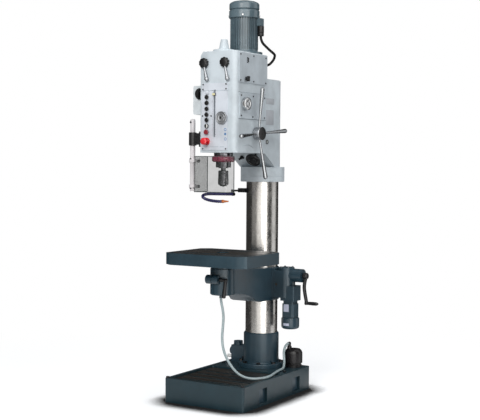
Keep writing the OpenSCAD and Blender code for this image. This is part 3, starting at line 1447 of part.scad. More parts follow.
module table_clamp_lever() {
    color(black) {
        along_x(0, clamp_y, clamp_z) {
            up(clamp_left - 8) cylinder(r = 8, h = clamp_right - clamp_left + 20);
            up(clamp_left - 16) cylinder(d = 24, h = 15, $fn = 6);
            up(clamp_right + 0.4) rotate_extrude() polygon([[0, 0], [9, 0], [10, 2], [10, 14], [9, 18],
                [8, 44], [0, 44]]);
        }
        translate([clamp_right + 40, clamp_y, clamp_z]) sphere(r = 9, $fn = 32);
        translate([clamp_right + 40, clamp_y, clamp_z]) along([-12, 0, -92]) rotate_extrude()
            polygon([[0, 0], [8, 0],
            [7, 20], [7, 60], [9, 80], [9, 90], [6, 95], [0, 96]]);
    }
}

base();
fasteners();
column_flange();
column();
column_rack();
column_top_flange();
head_casting();
gearbox_housing();
side_covers();
control_panel();
motor_frame();
motor_fan_cowl();
motor_cable();
switch_box();
guard_post();
chuck_guard();
pump_body();
coolant_hose();
junction_box();
nozzle_bracket();
nozzle_hose();
spindle_cap();
table_arm();
lift_gearbox();
lift_motor();
lift_pinion_shaft();
worm_shaft();
lift_crank();
crank_grip();
work_table();
table_clamp_lever();
quill();
quill_collar();
spindle_bearings();
spindle();
chuck_body();
chuck_sleeve();
chuck_jaws();
drive_sleeve();
layshaft();
motor_rotor();
capstan_hub();
capstan_handles();
quill_pinion_shaft();
fine_feed_handwheel();
wing_screw();
gear_lever_left();
gear_lever_right();
feed_selector();
side_knob();
depth_dial();
push_button_1();
push_button_2();
push_button_3();
push_button_4();
push_button_5();
selector_switch();
stop_button();
emergency_stop();
main_switch();
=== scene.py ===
"""Looks of a geared pillar drill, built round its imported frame.

Sizes are metres in the frame's axes: the column stands on the origin, +Z is up, the operator stands at -Y.
Each sub-assembly is a class: its fields are its sizes, its methods build its meshes and dress them.
"""

from __future__ import annotations

import functools
import json
import logging
import math
from dataclasses import dataclass
from enum import Enum
from typing import Any, Callable, ClassVar, Iterable, Sequence

import bpy
import numpy as np
from mathutils import Matrix, Vector

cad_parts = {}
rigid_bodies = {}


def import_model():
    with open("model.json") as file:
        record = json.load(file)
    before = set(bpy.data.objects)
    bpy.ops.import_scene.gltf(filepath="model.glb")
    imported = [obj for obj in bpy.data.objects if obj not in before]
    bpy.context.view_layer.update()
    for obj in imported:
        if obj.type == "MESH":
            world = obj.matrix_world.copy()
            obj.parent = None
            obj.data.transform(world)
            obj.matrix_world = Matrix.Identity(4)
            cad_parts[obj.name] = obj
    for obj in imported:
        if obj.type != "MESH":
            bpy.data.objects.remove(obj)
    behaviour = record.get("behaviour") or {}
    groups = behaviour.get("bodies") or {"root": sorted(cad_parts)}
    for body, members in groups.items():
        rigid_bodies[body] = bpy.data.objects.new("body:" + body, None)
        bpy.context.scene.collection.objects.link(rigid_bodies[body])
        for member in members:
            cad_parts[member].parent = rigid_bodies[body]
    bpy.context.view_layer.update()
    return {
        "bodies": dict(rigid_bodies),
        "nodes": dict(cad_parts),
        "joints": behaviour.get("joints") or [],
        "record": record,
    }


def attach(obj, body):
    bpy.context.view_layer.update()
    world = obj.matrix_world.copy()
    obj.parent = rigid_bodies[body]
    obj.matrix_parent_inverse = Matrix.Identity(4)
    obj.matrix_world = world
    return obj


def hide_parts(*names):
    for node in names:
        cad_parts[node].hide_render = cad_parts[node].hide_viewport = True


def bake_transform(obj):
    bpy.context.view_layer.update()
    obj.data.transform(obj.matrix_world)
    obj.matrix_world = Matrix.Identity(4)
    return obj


Array = np.ndarray
Pair = tuple[float, float]
Point = tuple[float, float, float]
Profile = Sequence[Sequence[float]]
Tint = tuple[int, int, int]
Colour = tuple[float, float, float, float]
LOG = logging.getLogger("pillar_drill")


def mm(text: str) -> tuple[tuple[float, ...], ...]:
    """Points in metres from a text that gives them in millimetres, as "x y, x y" or "x y z, x y z"."""
    return tuple(tuple(float(v) / 1000 for v in point.split()) for point in text.split(","))


# Shapes


@dataclass(frozen=True)
class Seat:
    """Where a shape stands: its origin, where its own Z points, and roughly where its own X points."""

    at: Point = (0.0, 0.0, 0.0)
    axis: Point = (0.0, 0.0, 1.0)
    side: Point = (1.0, 0.0, 0.0)

    def put(self, points: Array) -> Array:
        """Moves points from the shape's own axes to the frame: at + x e1 + y e2 + z e3, e3 along axis.

        Args:
            points: (n, 3) points in the shape's own axes.
        Returns:
            (n, 3) points in the frame.
        """
        e3 = np.array(self.axis, float)
        e3 /= np.linalg.norm(e3)
        e1 = np.array(self.side, float)
        e1 -= (e1 @ e3) * e3
        e1 /= np.linalg.norm(e1)
        return np.array(self.at) + points @ np.stack([e1, np.cross(e3, e1), e3])


@dataclass
class Shape:
    """Points, faces and, for cords, how far along its line each point is."""

    points: Array
    faces: list[tuple[int, ...]]
    along: Array | None = None

    def at(self, seat: Seat) -> "Shape":
        """The same shape put on a seat."""
        return Shape(seat.put(self.points), self.faces, self.along)

    def on(self, seats: Iterable[Seat]) -> "Shape":
        """The shape put on each of the seats, as one."""
        return together(self.at(seat) for seat in seats)

    def plain(self) -> "Shape":
        """The same shape without its lengths."""
        return Shape(self.points, self.faces)

    def __add__(self, other: "Shape") -> "Shape":
        """Both shapes as one."""
        n = len(self.points)
        faces = self.faces + [tuple(i + n for i in f) for f in other.faces]
        return Shape(np.vstack([self.points, other.points]), faces)


def together(shapes: Iterable[Shape]) -> Shape:
    """All the shapes as one."""
    return functools.reduce(lambda a, b: a + b, shapes)


def grid_quads(rows: int, cols: int, wrap_rows: bool = False, wrap_cols: bool = True) -> list[tuple[int, ...]]:
    """Quads of a grid of points: face (i, j) joins (i, j), (i, j+1), (i+1, j+1) and (i+1, j).

    Args:
        rows: Rows of points.
        cols: Points in a row.
        wrap_rows: Whether the last row joins the first.
        wrap_cols: Whether each row closes on itself.
    Returns:
        The faces, wound so that they look to the right of a row that rises.
    """
    i, j = np.meshgrid(np.arange(rows - (not wrap_rows)), np.arange(cols - (not wrap_cols)), indexing="ij")
    up, on = (i + 1) % rows, (j + 1) % cols
    quads = np.stack([i * cols + j, i * cols + on, up * cols + on, up * cols + j], -1).reshape(-1, 4)
    return [tuple(q) for q in quads.tolist()]


def stacked(rings: Array, capped: bool = True, wrap_rows: bool = False) -> Shape:
    """A skin over (rows, cols, 3) rings of points, with a flat face on the first and the last ring."""
    rows, cols = rings.shape[:2]
    faces = grid_quads(rows, cols, wrap_rows)
    if capped and not wrap_rows:
        faces += [tuple(range(cols - 1, -1, -1)), tuple(range((rows - 1) * cols, rows * cols))]
    return Shape(rings.reshape(-1, 3), faces)


def eased(line: Array, radius: float, steps: int = 4, closed: bool = False) -> Array:
    """Rounds the corners of a line: each corner c becomes (1-t)^2 a + 2t(1-t) c + t^2 b, where a and b lie a
    radius before and after it, or 0.45 of the side where that is shorter.

    Args:
        line: (n, 2) or (n, 3) points.
        radius: Length cut off each side of a corner.
        steps: Spans in each rounded corner.
        closed: Whether the line is a loop.
    Returns:
        The points of the rounded line.
    """
    pts = np.asarray(line, float)
    before = np.roll(pts, 1, 0) - pts
    after = np.roll(pts, -1, 0) - pts
    lb = np.linalg.norm(before, axis=1, keepdims=True) + 1e-12
    la = np.linalg.norm(after, axis=1, keepdims=True) + 1e-12
    a = pts + before / lb * np.minimum(radius, 0.45 * lb)
    b = pts + after / la * np.minimum(radius, 0.45 * la)
    t = np.linspace(0, 1, steps + 1)[None, :, None]
    arcs = (1 - t) ** 2 * a[:, None] + 2 * t * (1 - t) * pts[:, None] + t**2 * b[:, None]
    if closed:
        return arcs.reshape(-1, pts.shape[1])
    return np.vstack([pts[:1], arcs[1:-1].reshape(-1, pts.shape[1]), pts[-1:]])


def turned(profile: Profile, ease: float = 0.0006, around: int = 48, hollow: bool = False, lobes: int = 0,
           depth: float = 0.0) -> Shape:
    """A turned shape: the point at angle a of profile point (r, z) is (s cos a, s sin a, z), where
    s = r (1 - d w (0.5 + 0.5 cos(n a))^2) and w = (r / largest r)^4, so that flutes fade inwards.

    Args:
        profile: (radius, height) points, rising on the outside. Points on the axis become a flat cap.
        ease: How much the corners are rounded.
        around: Points around the axis.
        hollow: Whether the profile is a loop round a ring's section.
        lobes: Number n of flutes.
        depth: Depth d of the flutes as a share of the radius.
    Returns:
        A closed shape about its own Z axis.
    """
    line = eased(np.array(profile, float), ease, 3, hollow)
    if not hollow:
        line = line[line[:, 0] > 1e-6]
    a = np.linspace(0, 2 * np.pi, around, endpoint=False)
    r, z = line[:, :1], np.repeat(line[:, 1:], around, 1)
    r = r * (1 - depth * (r / r.max()) ** 4 * (0.5 + 0.5 * np.cos(lobes * a)) ** 2)
    return stacked(np.stack([r * np.cos(a), r * np.sin(a), z], -1), wrap_rows=hollow)


def inset(outline: Array, by: float) -> Array:
    """The outline moved inwards along the normals of its points, by the given distance."""
    run = np.roll(outline, -1, 0) - np.roll(outline, 1, 0)
    run /= np.linalg.norm(run, axis=1, keepdims=True) + 1e-12
    return outline + by * np.stack([-run[:, 1], run[:, 0]], -1)


def pressed(outline: Array, low: float, high: float, edge: float = 0.0005, steps: int = 3) -> Shape:
    """A plate: the outline from low to high, its edges rounded as inset = edge (1 - cos t), rise = edge sin t.

    Args:
        outline: (n, 2) loop, anticlockwise.
        low: Height of its lower face.
        high: Height of its upper face.
        edge: Radius of its edges.
        steps: Spans in each rounded edge.
    Returns:
        A closed shape.
    """
    t = np.linspace(0, np.pi / 2, steps + 1)
    down = [(edge * (1 - math.sin(x)), low + edge * (1 - math.cos(x))) for x in t]
    up = [(edge * (1 - math.cos(x)), high - edge * (1 - math.sin(x))) for x in t]
    rings = [np.column_stack([inset(outline, d), np.full(len(outline), z)]) for d, z in down + up]
    return stacked(np.array(rings))


def plate_outline(wide: float, tall: float, corner: float, steps: int = 5) -> Array:
    """A rectangle about the origin with rounded corners, anticlockwise."""
    x, y = wide / 2, tall / 2
    return eased(np.array([[-x, -y], [x, -y], [x, y], [-x, y]]), corner, steps, True)


def circle(radius: float, count: int = 32) -> Array:
    """A circle's points, anticlockwise: (r cos a, r sin a)."""
    a = np.linspace(0, 2 * np.pi, count, endpoint=False)
    return radius * np.stack([np.cos(a), np.sin(a)], -1)


def flowing(points: Profile, steps: int) -> Array:
    """A smooth line through points: Catmull-Rom, 0.5 (2b + (c-a)t + (2a-5b+4c-d)t^2 + (3b-a-3c+d)t^3)."""
    p = np.array(points, float)
    p = np.vstack([2 * p[0] - p[1], p, 2 * p[-1] - p[-2]])
    a, b, c, d = (p[k : len(p) - 3 + k][:, None] for k in range(4))
    t = np.linspace(0, 1, steps, endpoint=False)[None, :, None]
    line = 0.5 * (2 * b + (c - a) * t + (2 * a - 5 * b + 4 * c - d) * t**2 + (3 * b - a - 3 * c + d) * t**3)
    return np.vstack([line.reshape(-1, 3), p[-2]])


def lengths(line: Array) -> Array:
    """Length so far at each point of a line."""
    return np.concatenate([[0], np.cumsum(np.linalg.norm(np.diff(line, axis=0), axis=1))])


def carried_frames(line: Array, side: Point) -> tuple[Array, Array]:
    """Two directions across each station of a line, carried along it so that a tube doesn't twist."""
    run = np.gradient(line, axis=0)
    run /= np.linalg.norm(run, axis=1, keepdims=True)
    first, u = [], np.array(side, float)
    for t in run:
        u = u - (u @ t) * t
        u /= np.linalg.norm(u)
        first.append(u)
    us = np.array(first)
    return us, np.cross(run, us)


def swept(line: Array, radius: float | Array, side: Point = (1, 0, 0), around: int = 16,
          capped: bool = True) -> Shape:
    """A tube: the point at angle a of station i is line[i] + r[i] (cos a u[i] + sin a v[i]).

    Args:
        line: (n, 3) stations.
        radius: One radius, or one for each station.
        side: A direction across the first station.
        around: Points round the tube.
        capped: Whether its ends are closed.
    Returns:
        The tube, with the length so far at each point in along.
    """
    u, v = carried_frames(line, side)
    r = np.broadcast_to(np.asarray(radius, float), (len(line),))[:, None, None]
    a = np.linspace(0, 2 * np.pi, around, endpoint=False)[None, :, None]
    rings = line[:, None] + r * (np.cos(a) * u[:, None] + np.sin(a) * v[:, None])
    shape = stacked(rings, capped)
    shape.along = np.repeat(lengths(line), around)
    return shape


def resampled(line: Array, step: float) -> Array:
    """The line's points at an even distance along it."""
    run = lengths(line)
    at = np.linspace(0, run[-1], max(2, int(round(run[-1] / step)) + 1))
    return np.stack([np.interp(at, run, line[:, k]) for k in range(3)], -1)


# Finishes


def shade(r: int, g: int, b: int) -> Colour:
    """An sRGB colour of 0 to 255 as the linear colour that a shader takes."""
    line = [c / 255 for c in (r, g, b)]
    return (*[c / 12.92 if c <= 0.04045 else ((c + 0.055) / 1.055) ** 2.4 for c in line], 1.0)


def dimmed(colour: tuple[int, ...], by: float) -> Colour:
    """A colour of 0 to 255 with each number times a share, as a linear colour."""
    return shade(*[int(c * by) for c in colour])


def placed(name: str, data: Any) -> bpy.types.Object:
    """A new object of the scene from its data."""
    made = bpy.data.objects.new(name, data)
    bpy.context.scene.collection.objects.link(made)
    return made


def meshed(name: str, points: Array, faces: Sequence[Sequence[int]], paint: bpy.types.Material) -> bpy.types.Object:
    """A new mesh object of the scene, in one material."""
    mesh = bpy.data.meshes.new(name)
    mesh.from_pydata(points, [], faces)
    mesh.materials.append(paint)
    return placed(name, mesh)


class Tree:
    """Lays and wires the nodes of one node tree."""

    def __init__(self, tree: Any) -> None:
        """Keeps the tree that the nodes go in."""
        self.tree = tree

    @staticmethod
    def of(owner: Any) -> "Tree":
        """The emptied node tree of a material or a world."""
        owner.use_nodes = True
        owner.node_tree.nodes.clear()
        return Tree(owner.node_tree)

    def put(self, node: Any, inputs: dict[Any, Any]) -> None:
        """Sets or wires a node's inputs, each by its name or number."""
        for name, value in inputs.items():
            if isinstance(value, bpy.types.NodeSocket):
                self.tree.links.new(value, node.inputs[name])
            else:
                node.inputs[name].default_value = value

    def add(self, kind: str, inputs: dict[Any, Any] | None = None, **settings: Any) -> Any:
        """Adds a node.

        Args:
            kind: Its type, without the ShaderNode in front.
            inputs: Values or sockets by the input's name or number.
            settings: Properties of the node.
        Returns:
            The node.
        """
        node = self.tree.nodes.new("ShaderNode" + kind)
        for name, value in settings.items():
            setattr(node, name, value)
        self.put(node, inputs or {})
        return node

    def use(self, effect: Any, **inputs: Any) -> Any:
        """Places a shared effect and gives its outputs."""
        node = self.add("Group", node_tree=effect)
        self.put(node, {name.replace("_", " "): value for name, value in inputs.items()})
        return node.outputs

    def math(self, kind: str, a: Any, b: Any = 0.0, clamp: bool = False) -> Any:
        """One arithmetic node's output."""
        return self.add("Math", {0: a, 1: b}, operation=kind, use_clamp=clamp).outputs[0]

    def times(self, a: Any, b: Any) -> Any:
        """The product of two values."""
        return self.math("MULTIPLY", a, b)

    def plus(self, a: Any, b: Any) -> Any:
        """The sum of two values."""
        return self.math("ADD", a, b)

    def upward(self) -> Any:
        """How far a face looks up: the Z of its normal."""
        return self.add("SeparateXYZ", {0: self.add("NewGeometry").outputs["Normal"]}).outputs[2]

    def mix(self, share: Any, a: Any, b: Any) -> Any:
        """The mix of two colours."""
        return self.add("Mix", {0: share, 6: a, 7: b}, data_type="RGBA").outputs[2]

    def span(self, value: Any, low: float, high: float, to_low: float = 0.0, to_high: float = 1.0) -> Any:
        """A value mapped from low..high to to_low..to_high, smoothly and without going past them."""
        inputs = {0: value, 1: low, 2: high, 3: to_low, 4: to_high}
        return self.add("MapRange", inputs, interpolation_type="SMOOTHSTEP").outputs[0]

    def noise(self, where: Any, scale: Any, detail: float = 3.0, rough: float = 0.55) -> Any:
        """A noise node's value over a vector."""
        inputs = {"Vector": where, "Scale": scale, "Detail": detail, "Roughness": rough}
        return self.add("TexNoise", inputs).outputs[0]

    def seen(self) -> Any:
        """One for the rays of the camera, of mirrors and of glass, nought for the rest."""
        rays = self.add("LightPath").outputs
        shown = self.math("MAXIMUM", rays["Is Camera Ray"], rays["Is Glossy Ray"])
        return self.math("MAXIMUM", shown, rays["Is Transmission Ray"])


def effect(name: str, inputs: dict[str, Any], outputs: Sequence[str]) -> Callable[[Callable], Callable]:
    """Turns a function that lays nodes into one that gives a shader node group, built when first asked for.

    Args:
        name: The group's name.
        inputs: Each input's default: one number, three for a vector, or None for a vector without one.
        outputs: The names of its outputs, all numbers.
    Returns:
        A decorator for a function that takes the tree and the input sockets and gives the output sockets.
    """

    def wrap(lay: Callable) -> Callable:
        @functools.cache
        def built() -> Any:
            made = bpy.data.node_groups.new(name, "ShaderNodeTree")
            for label, value in inputs.items():
                kind = "NodeSocketFloat" if isinstance(value, float) else "NodeSocketVector"
                socket = made.interface.new_socket(label, in_out="INPUT", socket_type=kind)
                if value is not None:
                    socket.default_value = value
            for label in outputs:
                made.interface.new_socket(label, in_out="OUTPUT", socket_type="NodeSocketFloat")
            give, take = made.nodes.new("NodeGroupInput"), made.nodes.new("NodeGroupOutput")
            tree = Tree(made)
            tree.put(take, dict(zip(outputs, lay(tree, give.outputs))))
            return made

        return built

    return wrap


@effect("surface_grain", {"Vector": None, "Lump Scale": 40.0, "Pit Scale": 400.0, "Lump Height": 0.5,
                          "Pit Height": 0.5}, ("Height", "Blotch"))
def grain(tree: Tree, o: Any) -> tuple[Any, ...]:
    """Skin of a casting or moulding: soft lumps and fine pits as a height, and a blotch mask."""
    lumps = tree.times(tree.noise(o["Vector"], o["Lump Scale"], 2.0), o["Lump Height"])
    pits = tree.times(tree.noise(o["Vector"], o["Pit Scale"], 3.0, 0.7), o["Pit Height"])
    blotch = tree.noise(o["Vector"], tree.times(o["Lump Scale"], 0.25), 4.0, 0.6)
    return tree.plus(lumps, pits), blotch


@effect("edge_wear", {"Vector": None, "Amount": 0.3}, ("Mask",))
def wear(tree: Tree, o: Any) -> tuple[Any, ...]:
    """Where edges are rubbed: convex places by Pointiness, broken up by noise."""
    convex = tree.span(tree.add("NewGeometry").outputs["Pointiness"], 0.53, 0.62)
    broken = tree.span(tree.noise(o["Vector"], 90.0, 4.0, 0.7), 0.42, 0.62)
    return (tree.math("MULTIPLY", tree.times(convex, broken), o["Amount"], True),)


@effect("dust_and_oil", {"Vector": None, "Amount": 0.3}, ("Mask",))
def dust(tree: Tree, o: Any) -> tuple[Any, ...]:
    """Where dust and old oil lie: on faces that look up, in patches."""
    patches = tree.span(tree.noise(o["Vector"], 9.0, 5.0, 0.65), 0.35, 0.7)
    lying = tree.plus(tree.times(tree.span(tree.upward(), 0.3, 1.0), 0.7), 0.3)
    return (tree.math("MULTIPLY", tree.times(lying, patches), o["Amount"], True),)


@effect("tool_marks", {"Vector": None, "Stretch": (1.0, 1.0, 1.0), "Scale": 600.0}, ("Height", "Mask"))
def cuts(tree: Tree, o: Any) -> tuple[Any, ...]:
    """Marks of the tool: fine streaks, stretched along one way by the scale of the vector."""
    where = tree.add("VectorMath", {0: o["Vector"], 1: o["Stretch"]}, operation="MULTIPLY").outputs[0]
    broad = tree.noise(where, tree.times(o["Scale"], 0.12), 3.0)
    fine = tree.noise(where, o["Scale"], 2.0)
    return tree.plus(fine, tree.times(broad, 0.6)), broad


def shade_of(colour: Sequence[float], by: float = 1.0, more: float = 0.0) -> tuple[float, ...]:
    """A linear colour made lighter or darker: c by + more, up to 1."""
    return (*[min(1.0, c * by + more) for c in colour[:3]], 1.0)


class Marks(Enum):
    """Which way a metal's tool marks run: how much the pattern is squeezed along each axis."""

    ROUND = (0.02, 0.02, 1.0)
    UPRIGHT = (1.0, 1.0, 0.02)
    ALONG_X = (0.02, 1.0, 1.0)
    ALONG_Y = (1.0, 0.02, 1.0)
    NONE = (1.0, 1.0, 1.0)


@dataclass(frozen=True)
class Finish:
    """What all finishes share: a name, a colour of 0 to 255 and a roughness."""

    name: str
    colour: Tint
    roughness: float = 0.4

    def material(self) -> bpy.types.Material:
        """The finish as a material."""
        made = bpy.data.materials.new(self.name)
        tree = Tree.of(made)
        shader = tree.add("BsdfPrincipled")
        tree.add("OutputMaterial", {0: shader.outputs[0]})
        tree.put(shader, self.sockets(tree, tree.add("TexCoord").outputs["Object"]))
        made.diffuse_color = shade(*self.colour)
        return made

    def sockets(self, tree: Tree, where: Any) -> dict[str, Any]:
        """What goes into the shader's inputs, by name. Each finish has its own."""
        raise NotImplementedError

    @staticmethod
    def bump(tree: Tree, height: Any, depth: float) -> Any:
        """A normal from a height, depth being the height's full range in metres."""
        return tree.add("Bump", {"Height": height, "Distance": depth, "Strength": 1.0}).outputs[0]


UNREACHED = 99.0


@dataclass(frozen=True)
class Paint(Finish):
    """Machine enamel on a casting or sheet, with a rubbed edge, a blotchy sheen and some dust."""

    lump: float = 0.0004
    lump_scale: float = 30.0
    pit_scale: float = 380.0
    wear: float = 0.25
    bare: Tint = (120, 124, 128)
    dust: float = 0.2
    dust_colour: Tint = (120, 112, 100)
    coat: float = 0.15
    shine: float = 0.5
    machined_above: float = UNREACHED
    machined_below: float = UNREACHED
    machined: Tint = (70, 66, 64)
    level_above: float = 0.9

    def iron(self, tree: Tree, where: Any) -> tuple[Any, Any]:
        """Bare machined tops: where they lie, and the colour of their stained, planed iron."""
        height = tree.add("SeparateXYZ", {0: where}).outputs[2]
        level = tree.math("GREATER_THAN", tree.upward(), self.level_above)
        bare = tree.times(tree.math("GREATER_THAN", height, self.machined_above), level)
        bare = tree.times(bare, tree.math("LESS_THAN", height, self.machined_below))
        planed = tree.use(cuts(), Vector=where, Stretch=Marks.ALONG_X.value, Scale=500.0)["Mask"]
        stain = tree.span(tree.noise(where, 7.0, 5.0, 0.6), 0.35, 0.7)
        iron = tree.mix(stain, shade(*self.machined), dimmed(self.machined, 0.6))
        return bare, tree.mix(tree.span(planed, 0.3, 0.7, 0.0, 0.3), iron, shade(130, 128, 124))

    def sockets(self, tree: Tree, where: Any) -> dict[str, Any]:
        """What goes into the shader's inputs, by name."""
        skin = tree.use(grain(), Vector=where, Lump_Scale=self.lump_scale, Pit_Scale=self.pit_scale, Lump_Height=0.8,
                        Pit_Height=0.2)
        worn = tree.use(wear(), Vector=where, Amount=self.wear)["Mask"]
        dusty = tree.use(dust(), Vector=where, Amount=self.dust)["Mask"]
        base = shade(*self.colour)
        colour = tree.mix(tree.span(skin["Blotch"], 0.35, 0.65), shade_of(base, 0.82), base)
        colour = tree.mix(dusty, colour, shade(*self.dust_colour))
        colour = tree.mix(worn, colour, shade(*self.bare))
        rough = tree.span(skin["Blotch"], 0.3, 0.7, self.roughness - 0.06, self.roughness + 0.08)
        metal = tree.times(worn, 0.6)
        if self.machined_above < UNREACHED:
            bare, iron = self.iron(tree, where)
            colour = tree.mix(bare, colour, iron)
            metal = tree.math("MAXIMUM", metal, tree.times(bare, 0.75))
        return {"Base Color": colour, "Roughness": tree.plus(rough, tree.times(dusty, 0.3)),
                "Metallic": metal, "Specular IOR Level": self.shine, "Coat Weight": self.coat, "Coat Roughness": 0.25,
                "Normal": self.bump(tree, skin["Height"], self.lump)}


@dataclass(frozen=True)
class Metal(Finish):
    """Bare metal with its tool marks and a patchy film of oil."""

    marks: Marks = Marks.NONE
    mark_scale: float = 500.0
    depth: float = 0.00002
    patchy: float = 0.12
    tarnish: Tint = (110, 100, 88)
    tarnish_share: float = 0.15

    def sockets(self, tree: Tree, where: Any) -> dict[str, Any]:
        """What goes into the shader's inputs, by name."""
        turned_marks = tree.use(cuts(), Vector=where, Stretch=self.marks.value, Scale=self.mark_scale)
        film = tree.noise(where, 14.0, 5.0, 0.65)
        colour = tree.mix(tree.span(film, 0.45, 0.75, 0.0, self.tarnish_share), shade(*self.colour),
                          shade(*self.tarnish))
        colour = tree.mix(tree.span(turned_marks["Mask"], 0.3, 0.7, 0.0, 0.12), colour, dimmed(self.colour, 0.75))
        rough = tree.span(film, 0.3, 0.75, max(0.03, self.roughness - self.patchy / 2), self.roughness + self.patchy)
        return {"Base Color": colour, "Roughness": rough, "Metallic": 1.0,
                "Normal": self.bump(tree, turned_marks["Height"], self.depth)}


@dataclass(frozen=True)
class Plastic(Finish):
    """Moulded plastic or rubber with a fine skin, scuffs and handling shine."""

    depth: float = 0.00006
    skin_scale: float = 900.0
    scuff: float = 0.15
    coat: float = 0.0
    ribs: float = 0.0
    rib_depth: float = 0.0004
    shine: float = 0.5

    def sockets(self, tree: Tree, where: Any) -> dict[str, Any]:
        """What goes into the shader's inputs, by name."""
        skin = tree.use(grain(), Vector=where, Lump_Scale=60.0, Pit_Scale=self.skin_scale, Lump_Height=0.4,
                        Pit_Height=0.6)
        worn = tree.use(wear(), Vector=where, Amount=self.scuff)["Mask"]
        base = shade(*self.colour)
        colour = tree.mix(tree.span(skin["Blotch"], 0.4, 0.75, 0.0, 0.35), base, shade_of(base, 1.5, 0.015))
        colour = tree.mix(worn, colour, shade_of(base, 2, 0.05))
        rough = tree.span(skin["Blotch"], 0.3, 0.7, max(0.03, self.roughness - 0.06), self.roughness + 0.1)
        height, depth = skin["Height"], self.depth
        if self.ribs:
            along = tree.add("Attribute", attribute_name="along").outputs["Fac"]
            wave = tree.math("SINE", tree.times(along, 2 * math.pi / self.ribs))
            # Painted shade: the colour darkens in the troughs between the ribs.
            colour = tree.mix(tree.span(wave, -0.9, 0.6, 0.55, 0.0), colour, shade_of(base, 0.45))
            height, depth = tree.plus(wave, tree.times(height, 0.2)), self.rib_depth
        return {"Base Color": colour, "Roughness": rough, "Specular IOR Level": self.shine, "Coat Weight": self.coat,
                "Coat Roughness": 0.1, "Normal": self.bump(tree, height, depth)}


@dataclass(frozen=True)
class Clear(Finish):
    """Clear or smoked sheet: mostly see-through, more solid where it is seen edge on."""

    solid: float = 0.1
    edge_on: float = 0.6

    def sockets(self, tree: Tree, where: Any) -> dict[str, Any]:
        """What goes into the shader's inputs, by name."""
        film = tree.noise(where, 22.0, 4.0, 0.6)
        wipes = tree.use(cuts(), Vector=where, Stretch=Marks.UPRIGHT.value, Scale=260.0)["Mask"]
        colour = tree.mix(tree.span(wipes, 0.3, 0.7), shade(*self.colour), dimmed(self.colour, 0.86))
        facing = tree.math("POWER", tree.add("LayerWeight", {"Blend": 0.35}).outputs["Facing"], 3.0)
        solid = tree.plus(tree.times(facing, self.edge_on), self.solid)
        return {"Base Color": colour, "Alpha": tree.math("ADD", solid, tree.span(film, 0.4, 0.8, 0.0, 0.05), True),
                "Roughness": tree.span(film, 0.3, 0.7, self.roughness, self.roughness + 0.1),
                "Normal": self.bump(tree, wipes, 0.00003)}


@functools.cache
def material_of(finish: Finish) -> bpy.types.Material:
    """The finish's material, built the first time that it is asked for."""
    return finish.material()


